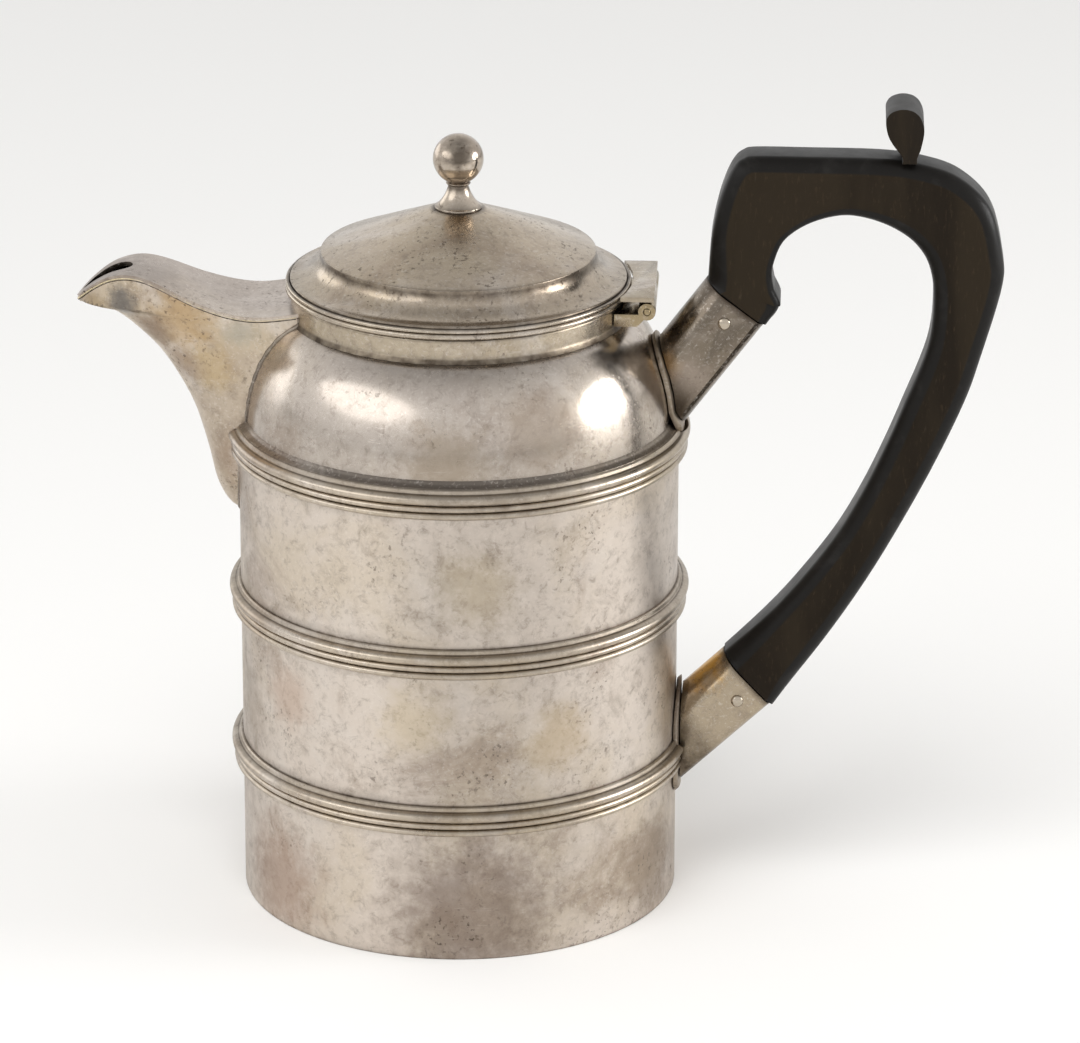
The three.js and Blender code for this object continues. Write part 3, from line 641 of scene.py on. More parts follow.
# Edges rubbed to a pale straw, painted paler still as the highlight along the spout cover's edge
silver_worn_edge_and_highlight = aged_silver("worn_straw_silver_edge_painted_highlight", "#cfc19f", patches=0.6, specks=0.3, gloss=0.25)

# Turned silver, smooth as a mirror under tarnish, with a painted dark reflection on the front of the ball
silver_finial = aged_silver(
    "tarnished_silver_finial_painted_reflection", "#c2b6a8", patches=0.4, specks=1.0, gloss=0.1,
    grime_and_shade=[(UP, [
        (130, 0.7), (131.6, 0.5), (132.2, 0.1), (134.2, 0.15), (135.2, 0.7), (136.2, 0.5), (137, 0.0),
        (146, 0.0),
    ])],
    # The second stain is a painted reflection: the dark of the camera's side mirrored in the front of the
    # ball
    stains_and_painted_light=[((0, 0, 141), 8, "#8f8378", 0.8), ((0.4, -4.4, 142), 3.6, "#574e45", 0.9)],
)

# Silver solder as it set, grey and rough, and the same in a seam where polish has turned it black; the black
# one is also painted shade on the walls of the pouring slot
solder = aged_silver("grey_silver_solder", "#7a726a", patches=0.5, specks=0.9, gloss=0.36)
dark_seam_and_slot_shade = aged_silver("blackened_seam_and_painted_slot_shade", "#2f2822", patches=0.1, specks=0.0, gloss=0.45)

# Ebony with a brown black side, and the thumb piece worn to grey by touch
ebony_handle = ebony("waxed_ebony", "#12100e", "#201a13", 5.4, 0.32)
ebony_thumb = ebony("worn_ebony_thumb_piece", "#333231", "#211c17", 5.42, 0.42)


# Body

drum = turned("body_drum_silver", eased([
    (DRUM_INNER, 0, 0.1), (DRUM_RADIUS, 0, 0.25), (DRUM_RADIUS, DRUM_HEIGHT, 0.15),
    (DRUM_INNER, DRUM_HEIGHT, 0.15),
]))

SHOULDER_STEPS = 40
shoulder_foot = DRUM_HEIGHT - 3.2
shoulder_outside = [(SHOULDER_RADIUS, shoulder_foot)]
shoulder_inside = [(SHOULDER_RADIUS - SHOULDER_WALL, shoulder_foot)]
for offset, side in ((0.0, shoulder_outside), (-SHOULDER_WALL, shoulder_inside)):
    reach = SHOULDER_RADIUS - CROWN_RADIUS + offset
    end = math.acos((COLLAR_INNER - CROWN_RADIUS) / reach)
    side += arc((CROWN_RADIUS, DRUM_HEIGHT), (reach, SHOULDER_RISE + offset), 0, end, SHOULDER_STEPS)
shoulder = turned("shoulder_silver", shoulder_outside + shoulder_inside[::-1])

# The opening from the body into the spout is an upright oval
OVAL_SIDES = 48
OVAL_HALF, OVAL_RISE, OVAL_MIDDLE = 6.0, 11.0, DRUM_HEIGHT + 5.0
oval = arc((0, OVAL_MIDDLE), (OVAL_HALF, OVAL_RISE), QUARTER, QUARTER - math.tau, OVAL_SIDES)
pour_oval = [(-20, y, z) for y, z in oval[:-1]]
for piece in (drum, shoulder):
    cut(piece, prism("pour_hole", pour_oval, (-25, 0, 0)))
finish(drum, silver_drum, "aged_silver", "body_drum")
finish(shoulder, silver_shoulder, "aged_silver", "shoulder")

base = turned("base_silver", [(0, 0), (38.9, 0), (39.3, 0.05), (39.55, 0.3), (39.55, 1), (0, 1)])
finish(base, silver_drum, "aged_silver", "base_plate")

collar = turned("neck_collar_silver", [
    (COLLAR_INNER, 112.2), (30.2, 111.95), (31.1, 111.5), (30.95, 111.75), (30.75, 112.15), (30.63, 112.5),
    (COLLAR_RADIUS, 112.8), (COLLAR_RADIUS, 113.1), (COLLAR_RADIUS, 115.5), (30.57, 115.72),
    (30.48, 115.86), (30.35, COLLAR_TOP), (29.85, COLLAR_TOP), (COLLAR_INNER, 115.75),
])
finish(collar, silver_collar, "aged_silver", "neck_collar")

fillet = turned("shoulder_solder_silver", [
    (39.2, DRUM_HEIGHT - 0.05), (40.7, DRUM_HEIGHT), (40.62, DRUM_HEIGHT + 0.32),
    (40.3, DRUM_HEIGHT + 0.5), (39.9, DRUM_HEIGHT + 0.7), (39.6, DRUM_HEIGHT + 1.0),
    (39.36, DRUM_HEIGHT + 1.4), (39.2, DRUM_HEIGHT + 1.5),
])
finish(fillet, solder, "aged_silver")


# Where the wood meets each socket, as (point, along, across) in the XZ plane


def joint(x, z, degrees):
    angle = math.radians(degrees)
    run, rise = math.cos(angle), math.sin(angle)
    return Vector((x, z)), Vector((run, rise)), Vector((rise, -run))


UPPER = joint(50.7, 114.85, 53.3)
LOWER = joint(53.8, 41.5, 43.3)


def on_joint(place, across, up, y=0.0):
    point, t, m = place
    spot = point + m * across + t * up
    return (spot.x, y, spot.y)


CAP_STEPS = 14


def socket_section(inset):
    """The outline of a socket as (across, y): flat sides, a fuller outer cap and a lower inner one."""
    outline = []
    for (centre, cap), turn in ((OUTER_CAP, QUARTER), (INNER_CAP, -QUARTER)):
        radii = (cap - inset, SOCKET_HALF - inset)
        outline += arc((centre, 0), radii, turn, turn + math.pi, CAP_STEPS)
    return outline


def socket_bar(name, place, inset, low, high):
    """A bar of a socket's section, set in or out, from one height along the joint to another."""
    outline = [on_joint(place, across, low, y) for across, y in socket_section(inset)]
    t = place[1]
    return prism(name, outline, (t.x * (high - low), 0, t.y * (high - low)))


# Bands of two reeds and a roll, with gaps for the spout and the sockets


def band_profile(low):
    foot = DRUM_RADIUS + 0.02
    root = DRUM_RADIUS + 0.9
    return [
        (foot, low),
        (root - 0.05, low),
        *bulge(root, 0.75, low + 0.02, low + 1.33),
        (root - 0.05, low + 1.35),
        *bulge(root, 0.75, low + 1.37, low + 2.68),
        (root - 0.05, low + 2.7),
        *bulge(root, 1.2, low + 2.72, low + 4.68, 14),
        (root - 0.1, low + 4.72),
        (root - 0.2, low + 4.8),
        (DRUM_RADIUS + 0.6, low + 5.3),
        (DRUM_RADIUS + 0.4, low + 5.48),
        (foot, low + BAND_HEIGHT),
    ]


SOCKET_GAP = -1.3
for node, low in BANDS.items():
    band = turned(node + "_silver", band_profile(low), 192)
    if node == "band_upper":
        gap = [(-50, -7.2, 85), (-50, 7.2, 85), (-50, 8.7, 92), (-50, -8.7, 92)]
        cut(band, prism("spout_gap", gap, (20, 0, 0)))
        cut(band, socket_bar("socket_gap", UPPER, SOCKET_GAP, -34, -5))
    if node == "band_lower":
        cut(band, socket_bar("socket_gap", LOWER, SOCKET_GAP, -34, -5))
    finish(band, silver_band, "aged_silver", node)


# Spout. Its stations are (height over the drum's edge, reach of the keel, half width)

STATIONS = [
    (-SPOUT_DROP, 0.4, 0.5), (-17.5, 1.7, 2.0), (-15.5, 3.2, 3.5), (-12.1, 4.6, 5.1), (-5.9, 6.0, 7.1),
    (1.7, 8.3, 8.6), (7.9, 11.4, 9.7), (12.9, 14.9, 10.4), (16.8, 18.9, 11.0), (19.7, 22.8, 11.3),
    (21.1, 26.6, SPOUT_HALF), (SPOUT_RISE, SPOUT_REACH, SPOUT_HALF), (31.6, SPOUT_REACH, SPOUT_HALF),
]
spout_run = through(STATIONS, 8)
spout_reach = [(z, reach) for z, reach, _ in spout_run]
spout_half = [(z, half) for z, _, half in spout_run]
spout_top = through([
    (-(DRUM_RADIUS + reach), DRUM_HEIGHT + rise)
    for reach, rise in (
        (30.0, 21.7), (26.5, 25.1), (22.6, 27.5), (18.4, 28.2), (14.1, 27.2),
        (6.9, 24.2), (0.6, 22.4), (-5.0, 22.0), (-12.7, 23.1),
    )
], 12)


def body_radius(z):
    share = (z - DRUM_HEIGHT) / SHOULDER_RISE
    if share <= 0:
        return DRUM_RADIUS
    if share >= 1:
        return COLLAR_RADIUS
    reach = SHOULDER_RADIUS - CROWN_RADIUS
    return max(CROWN_RADIUS + reach * math.sqrt(1 - share * share), COLLAR_RADIUS)


def arch(t):
    """The side of the spout seen from above, from its nose at 0 to the body at 1, as shares."""
    return swell(t, 0.03, 0.45), swell(t, 0.45, 0.9)


def spout_point(t, z, inset=0.0, sink=0.25):
    """A point of the spout's side, at a height. t runs from -1 to 1 round the nose."""
    rise = min(z - DRUM_HEIGHT, SPOUT_RISE)
    half = along(spout_half, rise) - inset
    nose = -(DRUM_RADIUS + along(spout_reach, rise) - inset * 1.4)
    root = -math.sqrt((body_radius(z) - sink) ** 2 - half * half)
    run, out = arch(abs(t))
    return (nose + (root - nose) * run, math.copysign(half * out, t), z)


def spout_top_at(t, drop, inset=0.0):
    """The height of the spout's side a drop below its cover, found by closing in on it."""
    z = DRUM_HEIGHT + SPOUT_RISE
    for _ in range(30):
        z += 0.6 * (along(spout_top, spout_point(t, z, inset)[0]) - drop - z)
    return z


NOSE_STEPS = 26
SHELL_ROWS = 60
SHELL_DROP = 0.75
SHELL_INSET = 0.12
low_end = DRUM_HEIGHT - SPOUT_DROP
turns = [math.copysign((abs(i) / NOSE_STEPS) ** 1.15, i) for i in range(-NOSE_STEPS, NOSE_STEPS + 1)]
tops = [spout_top_at(t, SHELL_DROP, SHELL_INSET) for t in turns]
rows = []
for j in range(SHELL_ROWS + 1):
    share = (j / SHELL_ROWS) ** 0.9
    rows.append([
        spout_point(t, low_end + (top - low_end) * share, SHELL_INSET) for t, top in zip(turns, tops)
    ])
shell = skin("spout_shell_silver", rows)
apply_modifier(shell, "SOLIDIFY", thickness=SPOUT_WALL * MM, offset=-1)
finish(shell, silver_spout, "aged_silver", "spout_shell", angle=50)

COVER_ROWS = 70
COVER_HALF_STEPS = 12
nose = -(DRUM_RADIUS + SPOUT_REACH)
cover_rows = []
for i in range(COVER_ROWS + 1):
    run, out = arch((i / COVER_ROWS) ** 1.3)
    row = []
    for k in range(-COVER_HALF_STEPS, COVER_HALF_STEPS + 1):
        side = SPOUT_HALF * math.sin(QUARTER * k / COVER_HALF_STEPS)
        back = -math.sqrt((COLLAR_RADIUS - 0.05) ** 2 - side ** 2)
        x = nose + (back - nose) * run
        row.append((x, side * out, along(spout_top, x)))
    cover_rows.append(row)
cover = skin("spout_cover_silver", cover_rows)
apply_modifier(cover, "SOLIDIFY", thickness=COVER_WALL * MM, offset=-1)

# The pouring slot, pointed towards the tip and round at the other end
SLOT_STEPS = 12
slot_point = nose + 1.0
slot_round = slot_point + SLOT_LENGTH - SLOT_HALF
slot_side = bend((slot_point, 0), (slot_point + 3.2, SLOT_HALF), (slot_round, SLOT_HALF), SLOT_STEPS)
slot_end = arc((slot_round, 0), (SLOT_HALF, SLOT_HALF), QUARTER, -QUARTER, SLOT_STEPS)[1:-1]
slot = slot_side + slot_end + [(x, -y) for x, y in slot_side[:0:-1]]
cut(cover, prism("slot", [(x, y, 100) for x, y in slot], (0, 0, 30)))
apply_modifier(
    cover, "BEVEL", width=0.2 * MM, segments=3, limit_method="ANGLE", angle_limit=math.radians(50),
)
finish(cover, silver_cover, "aged_silver", "spout_cover", angle=40)

# The walls of the slot are painted black: painted shade for the dark inside of the spout
cover.data.materials.append(dark_seam_and_slot_shade)
slot_from, slot_to = slot_point + 0.6, slot_round + SLOT_HALF + 0.1
for face in cover.data.polygons:
    centre = face.center / MM
    in_slot = slot_from < centre.x < slot_to and abs(centre.y) < SLOT_HALF + 0.05
    if in_slot and abs(face.normal.z) < 0.5:
        face.material_index = 1


# Solder along the spout's sides, and the seam of its cover and its worn edge with a painted highlight

BEAD_SIDES = 8
ASKEW = Vector((0.21, 0.11, 0.97))


def bead(name, line, radius, material):
    """A round bead along a line of points, a little uneven as a flowed metal is."""
    rows = []
    for i, point in enumerate(line):
        here = Vector(point)
        run = (Vector(line[min(i + 1, len(line) - 1)]) - Vector(line[max(i - 1, 0)])).normalized()
        side = run.cross(ASKEW).normalized()
        up = side.cross(run)
        size = radius * (0.85 + 0.15 * math.sin(i * 1.7))
        ring = arc((0, 0), (size, size), 0, math.tau, BEAD_SIDES)
        rows.append([tuple(here + side * out + up * rise) for out, rise in ring])
    piece = skin(name, rows, fill=True)
    finish(piece, material, "aged_silver", angle=60)


SIDE_POINTS = 60
EDGE_POINTS = 90
for side, word in ((1, "far"), (-1, "near")):
    foot = low_end + 0.3
    tall = spout_top_at(side, 0.9) - foot
    line = [spout_point(side, foot + tall * j / (SIDE_POINTS - 1), 0.0, 0.05) for j in range(SIDE_POINTS)]
    bead("spout_solder_" + word, line, 0.5, solder)
    for kind, drop, inset, radius, material in (
        ("seam", 0.98, 0.06, 0.08, dark_seam_and_slot_shade), ("edge", 0.66, 0.08, 0.17, silver_worn_edge_and_highlight),
    ):
        edge = []
        for j in range(EDGE_POINTS):
            t = side * (0.02 + 0.97 * (j / (EDGE_POINTS - 1)) ** 1.2)
            edge.append(spout_point(t, spout_top_at(t, drop), inset))
        bead(f"cover_{kind}_{word}", edge, radius, material)


# Sockets, their foot plates and their pins

for node, width, material in (
    ("socket_upper", 0.15, silver_socket_upper_painted_shade), ("socket_lower", 0.15, silver_socket_lower_painted_glint),
    ("socket_plate_upper", 0.35, silver_plate), ("socket_plate_lower", 0.35, silver_plate),
):
    piece = softened(node + "_silver", node, width)
    finish(piece, material, "aged_silver", node)

# The seam where the upper socket's inner face is soldered in, a dark line from the wood to the foot
SEAM_FOOT = -22.5
SEAM_LENGTH = 22.45
SEAM_ACROSS = (4.75, 4.95, 5.15, 5.35)
for word, side in (("near", -1), ("far", 1)):
    centre, cap = INNER_CAP
    curve = [(a, side * SOCKET_HALF * math.sqrt(1 - ((a - centre) / cap) ** 2)) for a in SEAM_ACROSS]
    outline = [on_joint(UPPER, a, SEAM_FOOT, y * 1.012) for a, y in curve]
    outline += [on_joint(UPPER, a, SEAM_FOOT, y * 0.97) for a, y in curve[::-1]]
    push = UPPER[1] * SEAM_LENGTH
    seam = prism("socket_seam_" + word, outline, (push.x, 0, push.y))
    finish(seam, dark_seam_and_slot_shade, "aged_silver")


def across_bar(name, x, z, profile, sides):
    """A small round piece that lies across the jug, from a profile of (radius, y)."""
    rows = []
    for radius, y in profile:
        ring = arc((x, z), (radius, radius), 0, math.tau, sides)
        rows.append([(out, y, up) for out, up in ring])
    return skin(name, rows, fill=True)


PIN_DOME = 0.52
PIN_STEPS = 8
pin_seat = SOCKET_HALF + 0.02
dome = arc((0, pin_seat), (PIN_HEAD, PIN_DOME), 0, QUARTER, PIN_STEPS)[:-1]
pin_half = [(0.02, pin_seat + PIN_DOME)] + dome[::-1] + [(PIN_SHANK, SOCKET_HALF)]
pin_profile = pin_half + [(radius, -y) for radius, y in pin_half[::-1]]
for node, place, out in (("handle_pin_upper", UPPER, 0.2), ("handle_pin_lower", LOWER, 1.3)):
    x, _, z = on_joint(place, out, -3.8)
    piece = across_bar(node + "_silver", x, z, pin_profile, 32)
    finish(piece, silver_bright, "bright_silver", node, angle=50)


# Handle

HEAD = UPPER[0]


def head(points):
    """Points of the handle's head, as shares of its reach and rise from the upper joint."""
    return [(HEAD.x + x * HANDLE_REACH, HEAD.y + z * HANDLE_RISE) for x, z in points]


def grip(points):
    """Points of the grip: a share of the drop between the joints, and of the reach outwards."""
    foot = LOWER[0]
    return [
        (HEAD.x + (foot.x - HEAD.x) * share + out * HANDLE_REACH, HEAD.y + (foot.y - HEAD.y) * share)
        for share, out in points
    ]


def flat(place, across, up):
    x, _, z = on_joint(place, across, up)
    return (x, z)


# The wood starts a little above each joint, and runs on straight as a stub below it
START, STUB = 0.25, -3
outer_head = [flat(UPPER, -SOCKET_REACH, STUB)] + through([flat(UPPER, -SOCKET_REACH, START)] + head([
    (-0.096, 0.451), (-0.073, 0.669), (-0.043, 0.835), (-0.014, 0.933), (0.017, 0.981), (0.066, 1.002),
    (0.256, 1.002),
]), 6)
outer_back = through(head([
    (0.256, 1.002), (0.529, 0.997), (0.691, 0.962), (0.831, 0.875), (0.946, 0.679), (0.997, 0.371),
    (1.0, 0.137),
]) + grip([
    (0.136, 0.916), (0.246, 0.856), (0.405, 0.742), (0.564, 0.612), (0.723, 0.469), (0.882, 0.305),
]) + [flat(LOWER, SOCKET_REACH, START)], 8) + [flat(LOWER, SOCKET_REACH, STUB)]
inner = [flat(LOWER, -SOCKET_REACH, STUB)] + through([flat(LOWER, -SOCKET_REACH, START)] + grip([
    (0.82, 0.093), (0.711, 0.237), (0.602, 0.361), (0.492, 0.459), (0.383, 0.541), (0.274, 0.614),
    (0.105, 0.718),
]) + head([
    (0.743, 0.057), (0.724, 0.277), (0.672, 0.423), (0.6, 0.519), (0.52, 0.581), (0.437, 0.615),
    (0.369, 0.612), (0.288, 0.574), (0.218, 0.509), (0.169, 0.425), (0.14, 0.295), (0.134, 0.203),
    (0.143, 0.11),
]), 6)
lobe = through([
    inner[-1], flat(UPPER, 6.05, 5.3), flat(UPPER, 6.55, 4.3), flat(UPPER, 6.75, 3.0),
    flat(UPPER, SOCKET_REACH, 1.6), flat(UPPER, SOCKET_REACH, START),
], 4) + [flat(UPPER, SOCKET_REACH, STUB)]
upper_face = [flat(UPPER, across, STUB) for across in (3.4, 0, -3.4)]
lower_face = [flat(LOWER, across, STUB) for across in (3.4, 0, -3.4)]
back = outer_head[:-1] + outer_back + lower_face
outline = back + inner[:-1] + lobe + upper_face


LONGEST_LOOP = 9


def inward(points, depth):
    """A closed outline moved inwards, each point by its own depth, without loops at its bends."""
    moved = []
    for i, (x, z) in enumerate(points):
        before = Vector(points[i - 1]) - Vector((x, z))
        after = Vector(points[(i + 1) % len(points)]) - Vector((x, z))
        run = (after.normalized() - before.normalized()).normalized()
        moved.append(Vector((x + run.y * depth[i], z - run.x * depth[i])))
    count = len(moved)
    for i in range(count):
        for span in range(LONGEST_LOOP, 1, -1):
            ends = [moved[k % count] for k in (i, i + 1, i + span, i + span + 1)]
            crossing = geometry.intersect_line_line_2d(*ends)
            if crossing:
                for k in range(i + 1, i + span + 1):
                    moved[k % count] = crossing.copy()
                break
    return [tuple(point) for point in moved]


def edge_depth(point, full, ends):
    """How deep the edge is rounded at a point, blended to what it is at an end of the handle."""
    for end, reach, there in ends:
        share = min((Vector(point) - Vector(end)).length / reach, 1.0)
        full = there + (full - there) * share * share * (3 - 2 * share)
    return full


ROUND_STEPS = 8
ROUND_HEIGHT = 0.95
FLAT_STRIP = 1.25


def rounded_slab(name, points, depths, half, crisp):
    """A flat-sided bar with rounded edges, from its outline. The rounding meets the flat sides at
    a soft corner, the sharper the greater the crispness in degrees."""
    start_angle = math.radians(crisp)
    stages = [(FLAT_STRIP, 0.0)]
    for i in range(ROUND_STEPS + 1):
        angle = start_angle + (QUARTER - start_angle) * i / ROUND_STEPS
        stages.append((
            (1 - math.sin(angle)) / (1 - math.sin(start_angle)),
            1 - math.cos(angle) / math.cos(start_angle),
        ))
    layers = []
    for inset, back_off in stages:
        ring = inward(points, [depth * inset for depth in depths])
        layers.append([
            (x, -half + back_off * depth * ROUND_HEIGHT, z) for (x, z), depth in zip(ring, depths)
        ])
    layers += [[(x, -y, z) for x, y, z in layer] for layer in layers[::-1]]
    for layer in layers:
        layer.append(layer[0])
    return skin(name, layers, fill=True)


BACK_DEPTH = 2.9
GRIP_DEPTH = 3.0
SLIM_DEPTH = 1.5
ends = [
    (flat(UPPER, -SOCKET_REACH, -1.5), 14, 4.0), (flat(UPPER, SOCKET_REACH, -1.5), 7, 2.0),
    (flat(LOWER, -SOCKET_REACH, -1.5), 16, 4.0), (flat(LOWER, SOCKET_REACH, -1.5), 9, 2.0),
]
depths = []
for i, (x, z) in enumerate(outline):
    if i < len(back):
        full = BACK_DEPTH
    elif z < HEAD.y:
        full = GRIP_DEPTH
    else:
        share = min(max(2 * (x - HEAD.x) / HANDLE_REACH - 0.4, 0.0), 1.0)
        full = SLIM_DEPTH + (GRIP_DEPTH - SLIM_DEPTH) * share
    depths.append(edge_depth((x, z), full, ends))
handle = rounded_slab("handle_ebony", outline, depths, WOOD_HALF, 28)
for place in (UPPER, LOWER):
    below = [on_joint(place, a, up, -7) for a, up in ((-12, START), (12, START), (12, -5), (-12, -5))]
    cut(handle, prism("socket_side", below, (0, 14, 0)))
for word, place in (("upper", UPPER), ("lower", LOWER)):
    cut(handle, socket_bar("tenon_" + word, place, 1.05, -11, 0.6), "UNION")
finish(handle, ebony_handle, "ebony", "handle", angle=40)


# Thumb piece

foot_x, foot_z = head([(0.645, 0.981)])[0]
thumb_line = through([
    (foot_x + x * THUMB_HEIGHT, foot_z + z * THUMB_HEIGHT)
    for x, z in (
        (-0.15, 0.01), (-0.15, 0.13), (-0.32, 0.361), (-0.41, 0.533), (-0.45, 0.752), (-0.42, 0.867),
        (-0.35, 0.943), (-0.229, 0.99), (-0.135, 1.0), (-0.051, 0.99), (0.051, 0.952), (0.161, 0.838),
        (0.221, 0.61), (0.169, 0.286), (0.11, 0.12), (0.11, 0.01),
    )
], 5)
THUMB_DEPTH = 0.22
thumb = rounded_slab("thumb_piece_ebony", thumb_line, [THUMB_DEPTH] * len(thumb_line), WOOD_HALF, 20)
finish(thumb, ebony_thumb, "ebony", "thumb_piece", angle=40)


# Lid

EDGE_HEIGHT = 2.1
EDGE_ROUND = 0.3
COVE_REACH = 5.65
COVE_RISE = 4.8
COVE_STEPS = 40
DOME_STEPS = 40
FINIAL_HOLE = 1.5


def lid_outside():
    """The lid's upright edge, its cove and its low dome, up to the hole for the finial."""
    line = [(LID_RADIUS, LID_BASE), (LID_RADIUS, LID_BASE + 1.95)]
    edge_middle = (LID_RADIUS - EDGE_ROUND, LID_BASE + EDGE_HEIGHT)
    line += arc(edge_middle, (EDGE_ROUND, EDGE_ROUND), 0, QUARTER, 5)[1:]
    cove_base = LID_BASE + EDGE_HEIGHT + EDGE_ROUND
    for i in range(3, COVE_STEPS + 1):
        a = QUARTER * i / COVE_STEPS
        line.append((
            LID_RADIUS - COVE_REACH * math.sin(a),
            cove_base + COVE_RISE * (1 - math.cos(a)) - 0.12 * i / COVE_STEPS,
        ))
    line += [(DOME_RADIUS - 0.03, DOME_BASE - 0.04), (DOME_RADIUS - 0.12, DOME_BASE + 0.03)]
    span, rise = DOME_RADIUS - 4.6, DOME_TOP - DOME_BASE
    for i in range(1, DOME_STEPS + 1):
        t = 0.02 + 0.98 * i / DOME_STEPS
        line.append((DOME_RADIUS - span * swell(t, 0.3, 0.7), DOME_BASE + rise * swell(t, 0.3, 0.72)))
    line.append((FINIAL_HOLE, DOME_TOP))
    return line


outside = lid_outside()
inside = []
for i, (x, z) in enumerate(outside):
    before, after = outside[max(i - 1, 0)], outside[min(i + 1, len(outside) - 1)]
    run = Vector((after[0] - before[0], after[1] - before[1])).normalized()
    inside.append((x - run.y * LID_WALL, z + run.x * LID_WALL))
inside[-1] = (FINIAL_HOLE, DOME_TOP - LID_WALL)
lid = turned("lid_cover_silver", outside + inside[::-1])
finish(lid, silver_lid, "aged_silver", "lid_cover", body="lid")

rim = turned("lid_rim_silver", [
    (30.77, LID_BASE + 0.05),
    (31.0, LID_BASE),
    *bulge(31.15, 0.5, LID_BASE, LID_BASE + 1.12, 12),
    (31.17, LID_BASE + 1.14),
    *bulge(31.15, 0.4, LID_BASE + 1.16, LID_BASE + 1.98),
    (30.95, LID_BASE + 1.95),
    (30.77, LID_BASE + 1.75),
])
finish(rim, silver_rim, "aged_silver", "lid_rim", body="lid")

BEZEL_INNER, BEZEL_OUTER = 28.6, 29.4
BEZEL_LOW, BEZEL_HIGH = 113.0, 117.7
bezel = turned("lid_bezel_silver", eased([
    (BEZEL_INNER, BEZEL_LOW, 0.2), (BEZEL_OUTER, BEZEL_LOW, 0.2), (BEZEL_OUTER, BEZEL_HIGH, 0),
    (BEZEL_INNER, BEZEL_HIGH, 0),
]))
finish(bezel, silver_lid, "aged_silver", "lid_bezel", body="lid")


# Finial and its nut

FOOT_RADIUS = 4.1
NECK_STEPS = 16
COLLET_STEPS = 10
BALL_STEPS = 40
foot_top = DOME_TOP + 0.5
finial_line = [
    (0, DOME_TOP - 3.45), (1.2, DOME_TOP - 3.45), (1.2, DOME_TOP + 0.02), (4.2, DOME_TOP + 0.02),
    (4.32, DOME_TOP + 0.08), (4.35, DOME_TOP + 0.28), (4.28, DOME_TOP + 0.44), (FOOT_RADIUS, foot_top),
]
neck_top = (NECK_RADIUS, DOME_TOP + 4.15)
finial_line += bend((FOOT_RADIUS, foot_top), (2.5, foot_top + 1.3), neck_top, NECK_STEPS)[1:]
finial_line += [(NECK_RADIUS, DOME_TOP + 4.3), (1.95, DOME_TOP + 4.38)]
for i in range(COLLET_STEPS + 1):
    share = i / COLLET_STEPS
    finial_line.append((1.95 + 0.3 * math.sin(math.pi * share), DOME_TOP + 4.4 + 0.6 * share))
ball_start = math.acos(NECK_RADIUS / BALL_RADIUS)
ball_centre = DOME_TOP + 5.0 + BALL_RADIUS * math.sin(ball_start)
finial_line += arc((0, ball_centre), (BALL_RADIUS, BALL_RADIUS), -ball_start, QUARTER, BALL_STEPS)[1:-1]
finial_line.append((0, ball_centre + BALL_RADIUS))
finial = turned("finial_silver", finial_line, 96)
finish(finial, silver_finial, "bright_silver", "finial", body="lid", angle=40)

nut = softened("finial_nut_silver", "finial_nut", 0.15)
finish(nut, silver_fitting, "aged_silver", "finial_nut", body="lid")


# Hinge

for node, body, material in (
    ("hinge_leaf_body", "jug", silver_hinge), ("hinge_leaf_lid", "lid", silver_fitting),
):
    piece = softened(node + "_silver", node, 0.14)
    finish(piece, material, "aged_silver", node, body=body)
hinge_half = [(0.02, 11.2), (0.45, 11.19), (0.6, 11.1), (0.65, 10.95)]
hinge_profile = hinge_half + [(radius, -y) for radius, y in hinge_half[::-1]]
pin = across_bar("hinge_pin_silver", HINGE_X, HINGE_Z, hinge_profile, 24)
finish(pin, silver_hinge, "bright_silver", "hinge_pin", angle=50)


# Floor, light and camera

start()
bpy.ops.mesh.primitive_grid_add(x_subdivisions=2, y_subdivisions=2, size=12)
floor = bpy.context.object
floor.name = "floor"
paper, paper_tree, paper_shader, _ = blank("white_paper_sweep")
feed(paper_tree, paper_shader, {
    "Base Color": linear("#f4f3f1"), "Roughness": 0.9, "Specular IOR Level": 0.1,
})
floor.data.materials.append(paper)

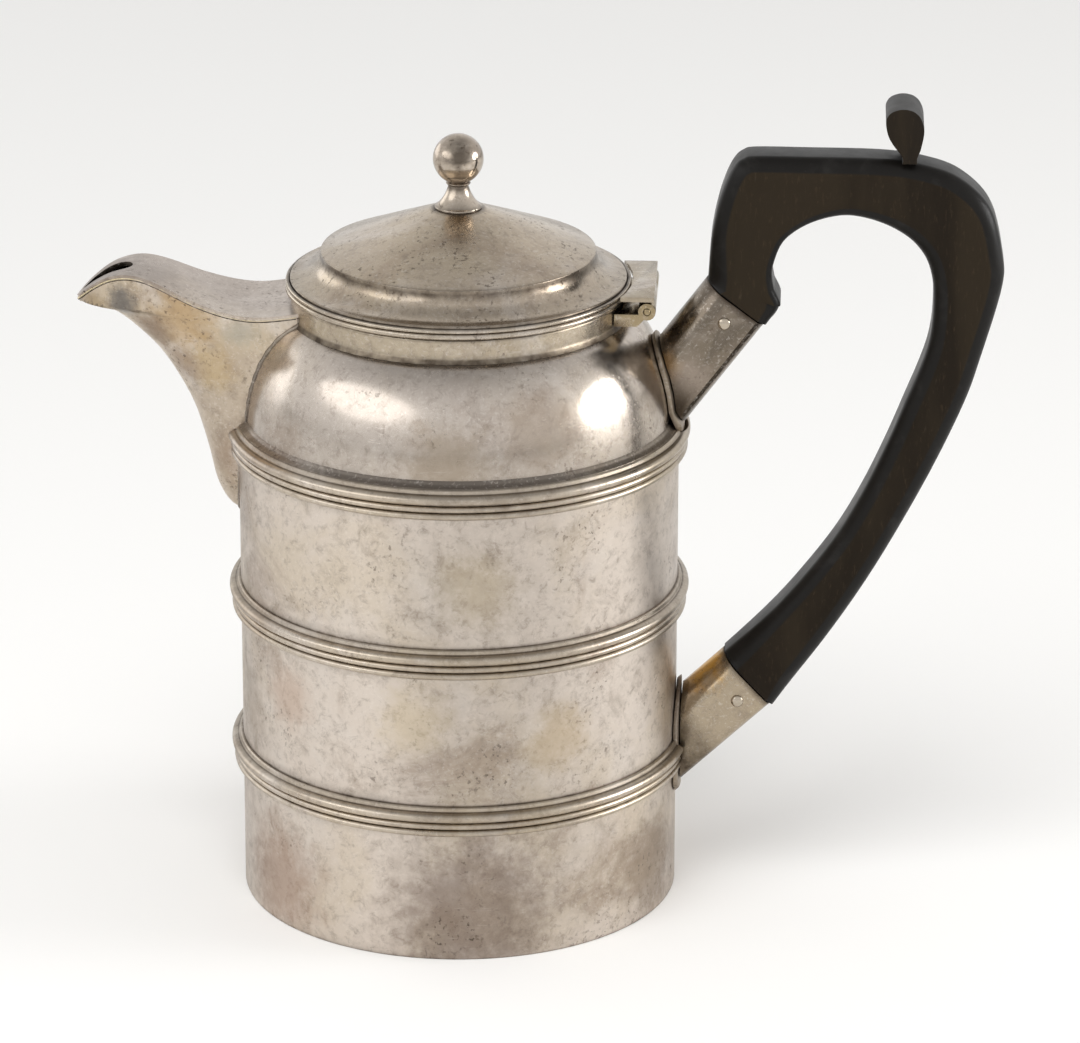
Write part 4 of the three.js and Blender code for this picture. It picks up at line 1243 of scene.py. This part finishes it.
# Fill light on all that is dull, a ceiling that darkens overhead in the silver, and a white backdrop
world = bpy.data.worlds.new("studio")
bpy.context.scene.world = world
world.use_nodes = True
air = world.node_tree
air.nodes.clear()
rays = add(air, "LightPath").outputs
way = add(air, "TexCoord").outputs["Generated"]
height = add(air, "SeparateXYZ", {0: way}).outputs["Z"]
ceiling = ramp_stops(
    add(air, "ValToRGB", {0: height}),
    [(0.0, 1.0), (0.3, 1.0), (0.5, 0.97), (0.74, 0.78), (0.88, 0.6), (1.0, 0.45)],
)
WHITE = (1, 1, 1, 1)
fill_light = add(air, "Background", {"Color": WHITE, "Strength": 0.6})
seen_white = add(air, "Background", {"Color": WHITE, "Strength": 1.0})
seen_metal = add(air, "Background", {"Color": ceiling, "Strength": 1.0})
clear = add(air, "Math", {0: rays["Is Camera Ray"], 1: rays["Is Transmission Ray"]}, operation="MAXIMUM")
mirrored = add(air, "MixShader", {0: rays["Is Glossy Ray"], 1: fill_light, 2: seen_metal})
shown = add(air, "MixShader", {0: clear, 1: mirrored, 2: seen_white})
add(air, "OutputWorld", {"Surface": shown})

JUG_MIDDLE = Vector((0.0, 0.0, 0.09))


def softbox(name, towards, distance, size, power, in_silver=True):
    """An oval light that faces the jug from a direction, seen in the silver or not. Its distance
    and size are in metres and its power in watts."""
    data = bpy.data.lights.new(name, "AREA")
    data.shape = "ELLIPSE"
    data.size, data.size_y = size
    data.energy = power
    lamp = bpy.data.objects.new(name, data)
    bpy.context.scene.collection.objects.link(lamp)
    out = Vector(towards).normalized()
    lamp.location = JUG_MIDDLE + out * distance
    lamp.rotation_mode = "QUATERNION"
    lamp.rotation_quaternion = out.to_track_quat("Z", "Y")
    lamp.visible_glossy = in_silver


softbox("right_softbox", (0.97, 0.0, 0.2), 1.2, (0.64, 0.46), 7.0)
softbox("left_softbox", (-0.82, 0.56, 0.12), 1.3, (0.9, 0.8), 2.0)
softbox("window_softbox", (-0.74, -0.55, 0.45), 1.3, (1.45, 0.6), 2.6)
softbox("high_softbox", (-0.2, -0.75, 1.3), 1.2, (0.8, 0.8), 7.5, in_silver=False)

TILT = math.radians(0.13)
camera = bpy.data.objects.new("camera", bpy.data.cameras.new("camera"))
bpy.context.scene.collection.objects.link(camera)
camera.data.lens = 198.05
camera.data.sensor_width = 36
camera.data.clip_start, camera.data.clip_end = 0.05, 50
camera.location = Vector((63.01, -1030.22, 450.84)) * MM
ahead = Vector((-0.04370979, 0.93729347, -0.34578955))
camera.rotation_mode = "QUATERNION"
camera.rotation_quaternion = (-ahead).to_track_quat("Z", "Y") @ Quaternion((0, 0, 1), TILT)
bpy.context.scene.camera = camera
bpy.context.scene.view_settings.view_transform = "Standard"
